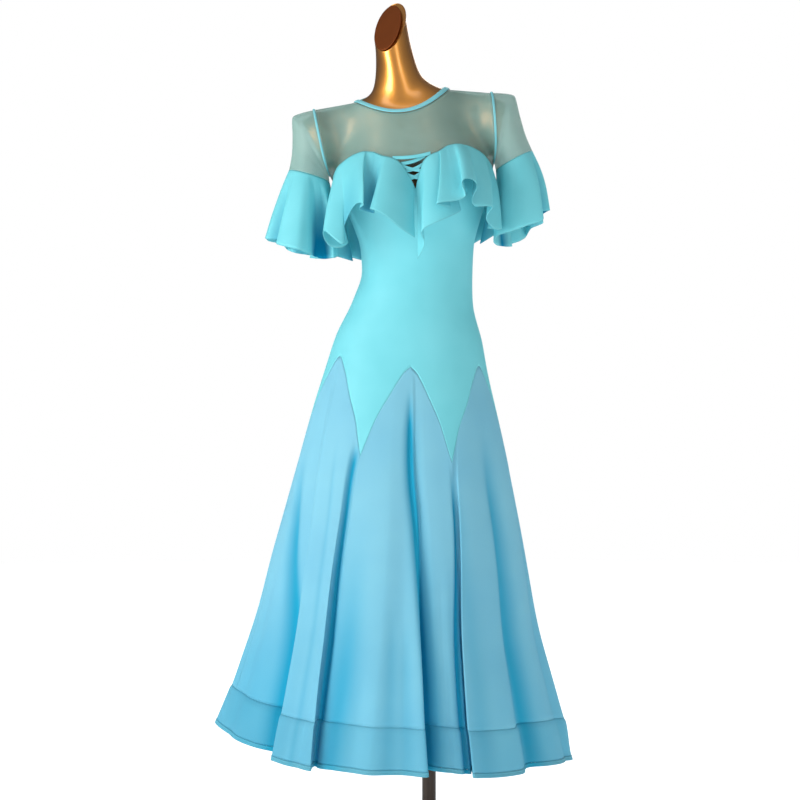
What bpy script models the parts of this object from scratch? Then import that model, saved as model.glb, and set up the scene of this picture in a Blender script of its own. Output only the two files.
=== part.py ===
"""Ballroom dance dress on a limbless dress form with a stand.

Frame: metres, +Z up, origin under the middle of the base plate. The dress faces -Y and +X is the wearer's
left. Every cloth piece is first worked out on a straight, upright body in (across, depth, height). The
function sway then shifts, turns and tilts it level by level, as the form stands with one hip out and one
shoulder low.
"""

import bmesh
import bpy
import numpy as np


def table(names, rows):
    """A table with named columns: one array for each name."""
    return dict(zip(names.split(), np.array(rows, float).T))


# Driving sizes, in metres
CLOTH = 0.0012
MESH_CLOTH = 0.0010
SEAM_GAP = 0.0006
GORE_SEAM_GAP = 0.0017
BAND_SEAM_HEIGHT = 0.254
HEM_HEIGHT = 0.176
BRAID_WIDTH = 0.008
BRAID_THICKNESS = 0.0020
FULLNESS_POWER = 0.8
FORM_BOTTOM = 0.790
POLE_RADIUS = 0.0130
SOCKET_RADIUS = 0.034
SOCKET_HEIGHT = 0.016
BASE_RADIUS = 0.170
BASE_THICKNESS = 0.010
BASE_EDGE = 0.003

# How far each level of the straight body is shifted across, turned to the wearer's left and tilted left
# side up
SWAY = table("height shift turn tilt", [
    (0.00, -0.064, 0.0, -4.8),
    (0.25, -0.058, 0.5, -4.8),
    (0.40, -0.0555, 1.5, -4.5),
    (0.60, -0.0485, 2.2, -4.0),
    (0.71, -0.0458, 1.0, -4.0),
    (0.88, -0.0405, 3.0, -4.0),
    (1.00, -0.031, 2.0, -2.5),
    (1.07, -0.022, 1.0, 0.0),
    (1.20, -0.0255, 0.0, 3.0),
    (1.27, -0.034, 0.0, 4.5),
    (1.38, -0.0485, 0.0, 5.5),
    (1.49, -0.067, 0.0, 6.0),
    (1.60, -0.075, 0.0, 6.0),
])

# The body ring at each level: half its width, and its depth in front of and behind the middle
RINGS = table("height half_width front back", [
    (0.150, 0.347, 0.335, 0.340),
    (0.178, 0.337, 0.325, 0.330),
    (0.254, 0.309, 0.298, 0.304),
    (0.300, 0.295, 0.284, 0.291),
    (0.410, 0.2635, 0.244, 0.259),
    (0.520, 0.241, 0.208, 0.232),
    (0.620, 0.218, 0.174, 0.204),
    (0.710, 0.1965, 0.145, 0.177),
    (0.800, 0.174, 0.120, 0.147),
    (0.885, 0.151, 0.105, 0.123),
    (0.940, 0.137, 0.098, 0.108),
    (1.010, 0.112, 0.089, 0.084),
    (1.065, 0.1035, 0.086, 0.076),
    (1.110, 0.106, 0.090, 0.080),
    (1.160, 0.120, 0.100, 0.090),
    (1.210, 0.139, 0.112, 0.099),
    (1.260, 0.153, 0.110, 0.103),
    (1.310, 0.158, 0.097, 0.100),
])
CUP = {"across": 0.070, "height": 1.205, "half_width": 0.042, "half_height": 0.046, "rise": 0.017}

# The columns of cloth in each quarter of the ring, with the height of the bodice's top edge and of the
# zigzag seam under it. The bodice's tails are at 25.5 and 90 degrees and the gores' apexes at 0 and 61.
FRONT_COLUMNS = table("angle top seam", [
    (0.0, 1.2115, 0.8860),
    (4.0, 1.2380, 0.8760),
    (7.5, 1.2595, 0.8607),
    (12.5, 1.2705, 0.8320),
    (19.0, 1.2765, 0.7890),
    (25.5, 1.2860, 0.7170),
    (32.0, 1.2885, 0.7800),
    (40.0, 1.2860, 0.8232),
    (50.0, 1.2785, 0.8700),
    (61.0, 1.2675, 0.8970),
    (72.0, 1.2550, 0.8592),
    (81.0, 1.2480, 0.8052),
    (90.0, 1.2450, 0.7170),
])
BACK_COLUMNS = table("angle top seam", [
    (90.0, 1.2450, 0.7170),
    (99.0, 1.2480, 0.8052),
    (108.0, 1.2510, 0.8592),
    (119.0, 1.2545, 0.8970),
    (130.0, 1.2570, 0.8700),
    (140.0, 1.2590, 0.8232),
    (148.0, 1.2605, 0.7800),
    (154.5, 1.2610, 0.7170),
    (159.5, 1.2615, 0.7778),
    (165.0, 1.2618, 0.8150),
    (172.5, 1.2620, 0.8607),
    (180.0, 1.2620, 0.8860),
])
TAILS = [-154.5, -90.0, -25.5, 25.5, 90.0, 154.5]
APEXES = [-180.0, -119.0, -61.0, 0.0, 61.0, 119.0, 180.0]


# Skirt folds at the hem, a row for each ridge, edge and valley: the cloth's own angle, where it hangs, how
# far out, and how much higher than the hem's usual height
FOLDS = table("cloth hangs reach lift", [
    (-178.0, -176.0, 0.82, 0.000),
    (-169.0, -168.0, 0.98, 0.000),
    (-160.0, -160.0, 0.97, 0.000),
    (-152.0, -153.0, 0.80, 0.000),
    (-143.0, -142.0, 0.99, 0.000),
    (-132.0, -130.0, 0.99, 0.000),
    (-124.0, -123.0, 0.83, 0.003),
    (-114.0, -113.0, 0.98, 0.004),
    (-105.0, -106.0, 0.92, 0.006),
    (-96.0, -97.0, 1.030, 0.009),
    (-88.0, -87.0, 0.97, 0.004),
    (-80.0, -74.0, 0.925, 0.000),
    (-72.0, -60.0, 0.885, -0.002),
    (-65.0, -48.0, 0.85, -0.001),
    (-57.0, -41.0, 1.00, -0.001),
    (-46.0, -36.0, 0.985, -0.004),
    (-36.0, -29.8, 0.995, -0.005),
    (-31.0, -27.0, 0.998, -0.005),
    (-27.5, -29.6, 0.895, -0.004),
    (-23.5, -26.6, 0.915, -0.004),
    (-17.0, -18.6, 0.972, -0.003),
    (-9.0, -8.9, 1.00, -0.003),
    (-4.0, 1.1, 0.955, 0.001),
    (-1.0, 7.2, 0.99, 0.003),
    (0.8, 8.8, 1.00, 0.004),
    (3.5, 10.2, 0.83, 0.005),
    (9.0, 15.5, 0.885, 0.006),
    (17.0, 20.5, 0.90, 0.006),
    (23.0, 24.6, 0.90, 0.006),
    (27.0, 29.0, 0.78, 0.007),
    (32.0, 24.0, 0.9775, 0.007),
    (36.0, 28.5, 0.975, 0.007),
    (46.0, 43.5, 0.945, 0.009),
    (56.0, 54.5, 0.885, 0.009),
    (66.0, 66.5, 0.93, 0.007),
    (75.0, 76.0, 0.94, 0.006),
    (85.0, 86.0, 0.985, 0.004),
    (95.0, 96.0, 0.93, 0.002),
    (104.0, 104.0, 0.98, 0.000),
    (113.0, 114.0, 0.98, 0.000),
    (122.0, 122.0, 0.83, 0.000),
    (132.0, 131.0, 0.98, 0.000),
    (143.0, 142.0, 0.99, 0.000),
    (151.0, 151.0, 0.81, 0.000),
    (160.0, 159.0, 0.98, 0.000),
    (171.0, 172.0, 0.99, 0.000),
])

# The neckline oval and the armhole
NECKLINE = {"half_width": 0.091, "front": 0.072, "back": 0.060, "front_height": 1.356, "side_height": 1.3955,
            "back_height": 1.413, "lean": 0.0035}
ARMPIT = (0.156, 1.262)
YOKE_CROWN = 0.006
ARMHOLE_STEPS = 6
YOKE_ROWS = 4
NECK_SHARE = 0.36

# The sleeve's rings from the armhole (0) to the cuff (1): its outermost point and its depth in front and
# behind
SLEEVE = table("share across height front back", [
    (0.00, 0.1645, 1.386, 0.056, 0.060),
    (0.25, 0.1900, 1.3825, 0.055, 0.058),
    (0.42, 0.2095, 1.3755, 0.053, 0.056),
    (0.60, 0.2145, 1.338, 0.053, 0.055),
    (0.80, 0.2200, 1.305, 0.056, 0.058),
    (1.00, 0.2290, 1.274, 0.060, 0.062),
])
CUFF_INNER = (0.163, 1.243)

# Hems of the sleeve flounces, a row for each ridge and valley: angle round the cuff from outside over the
# front, then where the hem hangs
LEFT_SLEEVE_HEM = table("around across depth height", [
    (0.0, 0.248, -0.010, 1.170),
    (20.0, 0.248, -0.050, 1.167),
    (31.0, 0.202, -0.050, 1.165),
    (40.0, 0.232, -0.098, 1.151),
    (75.0, 0.200, -0.106, 1.138),
    (100.0, 0.172, -0.098, 1.130),
    (122.0, 0.146, -0.072, 1.124),
    (145.0, 0.142, -0.038, 1.118),
    (170.0, 0.152, -0.006, 1.112),
    (195.0, 0.168, 0.024, 1.112),
    (215.0, 0.182, 0.052, 1.114),
    (235.0, 0.176, 0.088, 1.118),
    (255.0, 0.200, 0.090, 1.126),
    (275.0, 0.212, 0.116, 1.134),
    (300.0, 0.220, 0.080, 1.146),
    (320.0, 0.244, 0.076, 1.156),
    (340.0, 0.236, 0.036, 1.164),
])
RIGHT_SLEEVE_HEM = table("around across depth height", [
    (0.0, 0.284, -0.006, 1.137),
    (24.0, 0.281, -0.044, 1.132),
    (38.0, 0.256, -0.056, 1.128),
    (52.0, 0.260, -0.088, 1.118),
    (72.0, 0.222, -0.112, 1.104),
    (88.0, 0.204, -0.098, 1.097),
    (104.0, 0.188, -0.052, 1.092),
    (118.0, 0.174, -0.050, 1.088),
    (134.0, 0.156, -0.078, 1.088),
    (154.0, 0.150, -0.034, 1.094),
    (175.0, 0.156, -0.004, 1.096),
    (196.0, 0.176, 0.022, 1.096),
    (214.0, 0.178, 0.056, 1.096),
    (234.0, 0.204, 0.074, 1.100),
    (252.0, 0.202, 0.110, 1.106),
    (278.0, 0.232, 0.094, 1.112),
    (298.0, 0.248, 0.106, 1.120),
    (318.0, 0.256, 0.060, 1.128),
    (340.0, 0.282, 0.042, 1.135),
])

# Hems of the bust flounces from the side seam (0) to the foot of the notch (1), with a row for each turn of
# the cloth
RIGHT_BUST_HEM = table("share across depth height", [
    (0.00, -0.128, -0.072, 1.118),
    (0.07, -0.140, -0.084, 1.122),
    (0.13, -0.177, -0.112, 1.138),
    (0.20, -0.156, -0.128, 1.152),
    (0.27, -0.126, -0.140, 1.164),
    (0.34, -0.113, -0.152, 1.182),
    (0.41, -0.094, -0.176, 1.187),
    (0.46, -0.098, -0.150, 1.186),
    (0.52, -0.086, -0.138, 1.183),
    (0.60, -0.071, -0.160, 1.172),
    (0.70, -0.046, -0.180, 1.158),
    (0.80, -0.026, -0.186, 1.138),
    (0.88, -0.008, -0.184, 1.124),
    (0.94, 0.002, -0.176, 1.112),
    (1.00, 0.000, -0.150, 1.084),
])
LEFT_BUST_HEM = table("share across depth height", [
    (0.00, 0.130, -0.072, 1.138),
    (0.05, 0.164, -0.112, 1.126),
    (0.10, 0.146, -0.128, 1.135),
    (0.15, 0.136, -0.146, 1.149),
    (0.21, 0.146, -0.168, 1.168),
    (0.27, 0.114, -0.184, 1.166),
    (0.31, 0.104, -0.180, 1.178),
    (0.35, 0.110, -0.158, 1.200),
    (0.39, 0.097, -0.148, 1.218),
    (0.43, 0.086, -0.164, 1.208),
    (0.47, 0.094, -0.190, 1.183),
    (0.53, 0.070, -0.200, 1.175),
    (0.60, 0.038, -0.194, 1.177),
    (0.64, 0.040, -0.168, 1.174),
    (0.69, 0.066, -0.158, 1.172),
    (0.75, 0.080, -0.182, 1.162),
    (0.82, 0.052, -0.190, 1.148),
    (0.90, 0.026, -0.186, 1.131),
    (0.95, 0.019, -0.178, 1.100),
    (1.00, 0.004, -0.152, 1.084),
])
BUST_SEAM_START = 76.0
BUST_SEAM_END = 0.985
SEAM_LIFT = 0.0020
STRAP_ROOM = 0.0045
STRAP_ANGLES = (16.0, 24.0)
BACK_HEM = {"half_width": 0.145, "depth": 0.162, "height": 1.112, "waves": 8, "wave": 0.012, "rise": 0.006,
            "from_side": 14.0, "slope": 0.12}

# Lacing over the notch: where each strap's two ends lie and which layer it is in
LACES = table("from_across from_height to_across to_height layer", [
    (-0.020, 1.2585, 0.026, 1.2700, 0),
    (-0.018, 1.2440, 0.023, 1.2565, 0),
    (-0.015, 1.2290, 0.019, 1.2430, 0),
    (-0.023, 1.2570, 0.018, 1.2430, 1),
    (-0.019, 1.2430, 0.015, 1.2290, 1),
    (-0.034, 1.2705, 0.036, 1.2735, 2.6),
])
LACE_WIDTH = 0.0064
LACE_SAG = 0.003
LACE_THICKNESS = 0.0010

# The form's neck: each level's middle and half sizes, up to the slanted cut
NECK = table("rise across depth half_width front back", [
    (0.00, 0.000, 0.000, 0.091, 0.072, 0.060),
    (0.10, -0.001, 0.002, 0.062, 0.061, 0.055),
    (0.24, -0.003, 0.005, 0.0470, 0.053, 0.052),
    (0.50, -0.0012, 0.010, 0.0392, 0.051, 0.051),
    (0.75, -0.0012, 0.012, 0.0348, 0.050, 0.050),
    (1.00, -0.0033, 0.012, 0.0328, 0.047, 0.047),
])
# How far the form lies inside the cloth at each level
CLEARANCE = table("height gap", [
    (0.79, 0.0165),
    (0.84, 0.0110),
    (0.92, 0.0050),
    (1.06, 0.0065),
    (1.16, 0.0045),
    (1.24, 0.0045),
    (1.34, 0.0022),
])
NECK_CUT = {"front_height": 1.483, "back_height": 1.577, "slope_across": 0.66}
NECK_CAP_THICKNESS = 0.002
NECK_CAP_SHIFT = -0.0042
NECK_CAP_SHARES = (0.80, 0.94, 0.91)
STUMP = {"across": 0.181, "lean": 0.015, "depth": 0.046, "height": 1.322, "half_height": 0.047}

MATERIALS = {
    "turquoise_knit": ("7BDEEA", 0.55, 0.0),
    "sheer_mesh": ("8FC4C4", 0.50, 0.0),
    "chiffon": ("7FC8E2", 0.60, 0.0),
    "gold_form": ("B9792F", 0.22, 0.9),
    "bronze_face": ("5A2E12", 0.40, 0.6),
    "dark_steel": ("3C332C", 0.40, 0.8),
}


def through(x, knots, values):
    """A smooth curve through the rows of a table: cubic pieces that stay level at each ridge and valley."""
    step = np.diff(knots)
    slope = np.diff(values) / step
    tangent = np.zeros(len(knots))
    before, after = slope[:-1], slope[1:]
    near, far = 2 * step[1:] + step[:-1], step[1:] + 2 * step[:-1]
    going_on = before * after > 0
    safe_before, safe_after = np.where(going_on, before, 1.0), np.where(going_on, after, 1.0)
    tangent[1:-1] = np.where(going_on, (near + far) / (near / safe_before + far / safe_after), 0.0)
    tangent[0], tangent[-1] = slope[0], slope[-1]
    x = np.clip(x, knots[0], knots[-1])
    i = np.clip(np.searchsorted(knots, x, side="right") - 1, 0, len(step) - 1)
    s = (x - knots[i]) / step[i]
    rise, fall = s * s * (3 - 2 * s), s * (1 - s) ** 2
    return (values[i] * (1 - rise) + values[i + 1] * rise
            + step[i] * (tangent[i] * fall - tangent[i + 1] * s * s * (1 - s)))


def around(angle, knots, values, turn=360.0):
    """The same curve round a closed ring of rows."""
    knots = np.concatenate([knots[-2:] - turn, knots, knots[:2] + turn])
    values = np.concatenate([values[-2:], values, values[:2]])
    return through(knots[2] + np.mod(angle - knots[2], turn), knots, values)


def sway(points):
    """Straight-body points (across, depth, height) put where the standing form has them."""
    across, depth, height = points[..., 0], points[..., 1], points[..., 2]
    shift = through(height, SWAY["height"], SWAY["shift"])
    turn = np.radians(through(height, SWAY["height"], SWAY["turn"]))
    tilt = np.radians(through(height, SWAY["height"], SWAY["tilt"]))
    turned = across * np.cos(turn) - depth * np.sin(turn)
    back = across * np.sin(turn) + depth * np.cos(turn)
    return np.stack([shift + turned * np.cos(tilt), back, height + turned * np.sin(tilt)], axis=-1)


def ring(angle, height, reach=1.0):
    """The body's oval ring at each height, at an angle from the front towards the wearer's left."""
    half_width = through(height, RINGS["height"], RINGS["half_width"])
    front = through(height, RINGS["height"], RINGS["front"])
    back = through(height, RINGS["height"], RINGS["back"])
    angle = np.radians(angle)
    across = half_width * reach * np.sin(angle)
    depth = -np.where(np.cos(angle) > 0, front, back) * reach * np.cos(angle)
    bulge = np.exp(-((np.abs(across) - CUP["across"]) / CUP["half_width"]) ** 2
                   - ((height - CUP["height"]) / CUP["half_height"]) ** 2)
    depth = depth - CUP["rise"] * bulge * np.clip(np.cos(angle) * 2, 0, 1)
    return np.stack([across, depth, height + 0 * across], axis=-1)


def by_column(angle, name):
    """A column height, at an angle round the ring, straight from each column of cloth to the next."""
    off_front = np.abs(np.mod(angle + 180.0, 360.0) - 180.0)
    knots = np.concatenate([FRONT_COLUMNS["angle"], BACK_COLUMNS["angle"][1:]])
    return np.interp(off_front, knots, np.concatenate([FRONT_COLUMNS[name], BACK_COLUMNS[name][1:]]))


def half_ring(columns):
    """The angles of the columns from one side seam to the other, over the front or the back."""
    angle = columns["angle"]
    if angle[0] == 0.0:
        return np.concatenate([-angle[::-1], angle[1:]])
    return np.concatenate([360.0 - angle, angle[-2::-1]])


def dress(angle, height):
    """The dress below the bust: the body's ring, with folds that grow from the gore seam to the hem."""
    seam = by_column(angle, "seam")
    grown = np.clip((seam - height) / (seam - HEM_HEIGHT), 0, 1) ** FULLNESS_POWER
    swing = around(angle, FOLDS["cloth"], FOLDS["hangs"] - FOLDS["cloth"])
    reach = around(angle, FOLDS["cloth"], FOLDS["reach"])
    lift = around(angle, FOLDS["cloth"], FOLDS["lift"])
    placed = ring(angle + grown * swing, height, 1 + grown * (reach - 1))
    placed[..., 2] += grown ** 3 * lift
    return placed


def neckline(angle):
    """The neckline oval by angle from the front, lower in front than at the sides and behind."""
    angle = np.radians(angle)
    facing = np.cos(angle)
    depth = np.where(facing > 0, NECKLINE["front"], NECKLINE["back"])
    end_height = np.where(facing > 0, NECKLINE["front_height"], NECKLINE["back_height"])
    height = end_height * facing ** 2 + NECKLINE["side_height"] * np.sin(angle) ** 2
    height = height + NECKLINE["lean"] * np.sin(angle)
    return np.stack([NECKLINE["half_width"] * np.sin(angle), -depth * facing, height], axis=-1)


def sleeve(around_angle, share):
    """The sleeve's tube: ovals from the armhole (share 0) to the cuff (1), by angle from outside (0) over
    the front (90)."""
    angle = np.radians(around_angle)
    outer = [through(share, SLEEVE["share"], SLEEVE[name]) for name in ("across", "height")]
    outer = np.stack(outer, axis=-1)
    armpit, cuff = np.array(ARMPIT), np.array(CUFF_INNER)
    inner = armpit + (cuff - armpit) * np.asarray(share)[..., None]
    middle, half = (outer + inner) / 2, (outer - inner) / 2
    spot = middle + half * np.cos(angle)[..., None]
    front = through(share, SLEEVE["share"], SLEEVE["front"])
    back = through(share, SLEEVE["share"], SLEEVE["back"])
    depth = -np.where(np.sin(angle) > 0, front, back) * np.sin(angle)
    return np.stack([spot[..., 0], depth, spot[..., 1]], axis=-1)


def mirrored(points, side):
    """Points made for the wearer's left (side 1), or turned over for the right (-1)."""
    return points * np.array([side, 1, 1])


def yoke_outline(facing):
    """The yoke's outer edge from the right shoulder down the armhole, along the bust and up to the left
    shoulder. facing is 1 for the front and -1 for the back."""
    up_armhole = np.linspace(180.0, 0.0, ARMHOLE_STEPS + 1)
    armhole = sleeve(up_armhole * facing, np.zeros(ARMHOLE_STEPS + 1))
    angle = half_ring(FRONT_COLUMNS if facing > 0 else BACK_COLUMNS)
    bust = ring(angle, by_column(angle, "top"))
    return np.concatenate([mirrored(armhole, -1)[::-1], bust, armhole])


def yoke_grid(facing):
    """The yoke between its neckline and its outer edge: straight lines with a slight crown."""
    outline = yoke_outline(facing)
    side = ARMHOLE_STEPS + 1
    near_shoulder = np.linspace(90.0, 90.0 * (1 - NECK_SHARE), side)
    across_front = np.linspace(-near_shoulder[-1], near_shoulder[-1], len(outline) - 2 * side + 2)
    neck_angle = np.concatenate([-near_shoulder, across_front[1:-1], near_shoulder[::-1]])
    neck = neckline(neck_angle if facing > 0 else 180.0 - neck_angle)
    share = np.linspace(0, 1, YOKE_ROWS + 1)[:, None, None]
    flat = neck * (1 - share) + outline * share
    crown = YOKE_CROWN * np.sin(np.pi * share) * np.cos(np.radians(neck_angle))[None, :, None]
    return flat + crown * np.array([0.0, -facing, 0.35])


def material(name):
    """A Principled material with the piece's colour, roughness and metal value."""
    if name in bpy.data.materials:
        return bpy.data.materials[name]
    colour, roughness, metallic = MATERIALS[name]
    made = bpy.data.materials.new(name)
    made.use_nodes = True
    surface = made.node_tree.nodes["Principled BSDF"]
    channels = [int(colour[i:i + 2], 16) / 255 for i in (0, 2, 4)]
    linear = [c / 12.92 if c <= 0.04045 else ((c + 0.055) / 1.055) ** 2.4 for c in channels]
    surface.inputs["Base Color"].default_value = (*linear, 1.0)
    surface.inputs["Roughness"].default_value = roughness
    surface.inputs["Metallic"].default_value = metallic
    made.diffuse_color = (*linear, 1.0)
    return made


def add_object(name, mesh, material_name):
    """Puts a mesh in the dress's collection under its own name."""
    made = bpy.data.objects.new(name, mesh)
    bpy.data.collections["dance_dress"].objects.link(made)
    mesh.materials.append(material(material_name))
    mesh.shade_smooth()
    return made


def grid_faces(rows, columns, closed):
    """Triangles of a grid of points, round to the first column again where it is closed."""
    last = columns if closed else columns - 1
    row, column = np.meshgrid(np.arange(rows - 1), np.arange(last), indexing="ij")
    here, beside = row * columns + column, row * columns + (column + 1) % columns
    lower, upper = [here, here + columns, beside + columns], [here, beside + columns, beside]
    return np.stack([np.stack(lower, axis=-1), np.stack(upper, axis=-1)], axis=-2).reshape(-1, 3)


def cloth(name, points, material_name, thickness=CLOTH, closed=False):
    """A sheet of cloth: a grid of straight-body points, swayed, with a wall of even thickness about it."""
    points = sway(points)
    mesh = bpy.data.meshes.new(name)
    faces = grid_faces(points.shape[0], points.shape[1], closed)
    mesh.from_pydata(points.reshape(-1, 3).tolist(), [], faces.tolist())
    made = add_object(name, mesh, material_name)
    wall = made.modifiers.new("wall", "SOLIDIFY")
    wall.thickness = thickness
    wall.offset = 0.0
    return made


def outward(grid, closed=False):
    """Unit directions square to a grid of points, on the side away from the body."""
    down = np.gradient(grid, axis=0)
    if closed:
        beside = np.roll(grid, -1, axis=1) - np.roll(grid, 1, axis=1)
    else:
        beside = np.gradient(grid, axis=1)
    square = np.cross(down, beside)
    square /= np.linalg.norm(square, axis=-1, keepdims=True)
    middle = grid.reshape(-1, 3).mean(axis=0)
    return square * np.sign(np.sum(square * (grid - middle)))


def between(top, bottom, shares):
    """Rows of points from the top line to the bottom line."""
    shares = np.asarray(shares)[:, None, None]
    return top * (1 - shares) + bottom * shares


def make_bodice():
    """Front and back of the knit bodice, from its top edge to the zigzag gore seam."""
    rows = np.array([0.0, 0.02, 0.06, 0.12, 0.19, 0.27, 0.37, 0.48, 0.60, 0.72, 0.86, 1.0])[:, None]
    for name, columns in (("bodice_front", FRONT_COLUMNS), ("bodice_back", BACK_COLUMNS)):
        angle = half_ring(columns)
        inset = np.zeros(len(angle))
        inset[0], inset[-1] = np.sign(angle[1] - angle[0]) * np.array([0.15, -0.15])
        top, bottom = by_column(angle, "top") - SEAM_GAP / 2, by_column(angle, "seam") + GORE_SEAM_GAP / 2
        height = top * (1 - rows) + bottom * rows
        cloth(name, dress(angle + inset + 0 * height, height), "turquoise_knit")


def make_yoke():
    """Sheer yoke, front and back, drawn in a little at each seam."""
    for name, facing in (("yoke_front", 1), ("yoke_back", -1)):
        grid = yoke_grid(facing)
        grid[-1, ARMHOLE_STEPS + 1:-ARMHOLE_STEPS - 1, 2] += SEAM_GAP / 2
        grid[:, 0, 1] -= facing * SEAM_GAP
        grid[:, -1, 1] -= facing * SEAM_GAP
        bottom_corner = [ARMHOLE_STEPS + 1, -ARMHOLE_STEPS - 2]
        for column in [ARMHOLE_STEPS, -ARMHOLE_STEPS - 1, *bottom_corner]:
            grid[:, column, 1] -= facing * SEAM_GAP
        cloth(name, grid, "sheer_mesh", MESH_CLOTH)


def make_neck_binding():
    """A folded strip that carries the yoke on past its neckline, up the foot of the form's neck."""
    angle = np.arange(0.0, 360.0, 9.0)
    foot, above = neck_rings(angle)[:2]
    upward = (above - foot) / np.linalg.norm(above - foot, axis=-1, keepdims=True)
    strip = np.stack([foot + 0.0008 * upward, foot + 0.0082 * upward])
    strip = strip + 0.0007 * outward(strip, closed=True)
    cloth("neck_binding", strip, "turquoise_knit", 0.0022, closed=True)


def make_sleeves():
    """Sheer sleeves from the armhole to the cuff, and the tape that covers each armhole seam."""
    angle = np.linspace(0.0, 360.0, 2 * ARMHOLE_STEPS, endpoint=False)
    sample = 0.22
    near_seam = sleeve(angle, sample + 0 * angle) - sleeve(angle, 0 * angle)
    length = np.linalg.norm(near_seam, axis=-1) / sample
    shares = np.array([0.0, 0.22, 0.42, 0.58, 0.78, 0.996])[:, None] + 0 * angle
    shares[0] = 0.0013 / length
    for name, side in (("sleeve_left", 1), ("sleeve_right", -1)):
        tube = mirrored(sleeve(angle + 0 * shares, shares), side)
        cloth(name, tube, "sheer_mesh", MESH_CLOTH, closed=True)
    for name, side in (("armhole_tape_left", 1), ("armhole_tape_right", -1)):
        shares = np.stack([0.0026 / length, 0.0070 / length])
        strip = sleeve(angle + 0 * shares, shares)
        strip = strip + 0.0017 * outward(strip, closed=True)
        cloth(name, mirrored(strip, side), "turquoise_knit", 0.0010, closed=True)


def flounce(top, hem, rows, belly=0.0):
    """Cloth that hangs from its seam to a wavy hem, a little hollow under the seam."""
    shares = np.linspace(0, 1, rows + 1)
    grid = between(top, hem, shares)
    grid[..., 2] += belly * np.sin(np.pi * shares)[:, None]
    return grid


def make_sleeve_flounces():
    """A circular flounce at each cuff."""
    angle = np.arange(0.0, 360.0, 10.0)
    for name, side, hem_rows in (("sleeve_flounce_left", 1, LEFT_SLEEVE_HEM),
                                 ("sleeve_flounce_right", -1, RIGHT_SLEEVE_HEM)):
        top = sleeve(angle, np.ones(len(angle)))
        top[:, 2] -= SEAM_GAP
        hem = np.stack([around(angle, hem_rows["around"], hem_rows[axis])
                        for axis in ("across", "depth", "height")], axis=-1)
        cloth(name, mirrored(flounce(top, hem, 3, 0.006), side), "turquoise_knit", closed=True)


def bust_seam(share, side):
    """The line that a bust flounce hangs from: along the bodice's top edge, then down its side of the notch,
    where it lies out over the straps."""
    angle = side * BUST_SEAM_START * (1 - share)
    on_edge = ring(angle, by_column(angle, "top"))
    over_straps = np.clip((STRAP_ANGLES[1] - np.abs(angle)) / (STRAP_ANGLES[1] - STRAP_ANGLES[0]), 0, 1)
    direction = on_edge * np.array([1.0, 1.0, 0.0])
    direction /= np.linalg.norm(direction, axis=-1, keepdims=True)
    return on_edge + direction * (SEAM_LIFT + STRAP_ROOM * over_straps)[..., None]


def make_bust_flounces():
    """The two front flounces, which cascade at the sides and meet in a point below the notch."""
    for name, side, hem_rows in (("bust_flounce_left", 1, LEFT_BUST_HEM),
                                 ("bust_flounce_right", -1, RIGHT_BUST_HEM)):
        knots = hem_rows["share"]
        share = np.sort(np.concatenate([knots, (knots[1:] + knots[:-1]) / 2]))
        hem = np.stack([through(share, knots, hem_rows[axis])
                        for axis in ("across", "depth", "height")], axis=-1)
        seam = bust_seam(np.minimum(share, BUST_SEAM_END), side)
        cloth(name, flounce(seam, hem, 4, 0.004), "turquoise_knit")


def make_back_flounce():
    """The back flounce: even waves from side seam to side seam."""
    angle = np.linspace(97.0, 263.0, 45)
    seam = ring(angle, by_column(angle, "top"))
    outward = seam * np.array([1.0, 1.0, 0.0])
    seam += outward / np.linalg.norm(outward, axis=-1, keepdims=True) * SEAM_LIFT
    phase = 2 * np.pi * BACK_HEM["waves"] * (angle - angle[0]) / (angle[-1] - angle[0])
    wave = BACK_HEM["wave"] * np.cos(phase)
    turned = np.radians(180.0 + (angle - 180.0) * (90.0 - BACK_HEM["from_side"]) / (180.0 - angle[0]))
    hem = np.stack([(BACK_HEM["half_width"] + wave) * np.sin(turned),
                    -(BACK_HEM["depth"] + wave) * np.cos(turned),
                    BACK_HEM["height"] + BACK_HEM["rise"] * np.cos(phase)], axis=-1)
    hem[:, 2] += BACK_HEM["slope"] * hem[:, 0]
    cloth("back_flounce", flounce(seam, hem, 3, 0.004), "turquoise_knit")


def make_laces():
    """Flat straps that cross over the notch in three layers."""
    share = np.linspace(0, 1, 7)
    first_layer = CLOTH / 2 + 0.0004 + LACE_THICKNESS / 2
    for i, layer in enumerate(LACES["layer"]):
        across = LACES["from_across"][i] + (LACES["to_across"][i] - LACES["from_across"][i]) * share
        height = LACES["from_height"][i] + (LACES["to_height"][i] - LACES["from_height"][i]) * share
        height = height - LACE_SAG * np.sin(np.pi * share)
        rows = []
        for edge in (0.5, -0.5):
            level = height + edge * LACE_WIDTH
            half_width = through(level, RINGS["height"], RINGS["half_width"])
            spot = ring(np.degrees(np.arcsin(across / half_width)), level)
            spot[:, 1] -= first_layer + layer * (LACE_THICKNESS + 0.0003)
            rows.append(spot)
        cloth(f"lace_{i + 1}", np.stack(rows), "turquoise_knit", LACE_THICKNESS)


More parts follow.
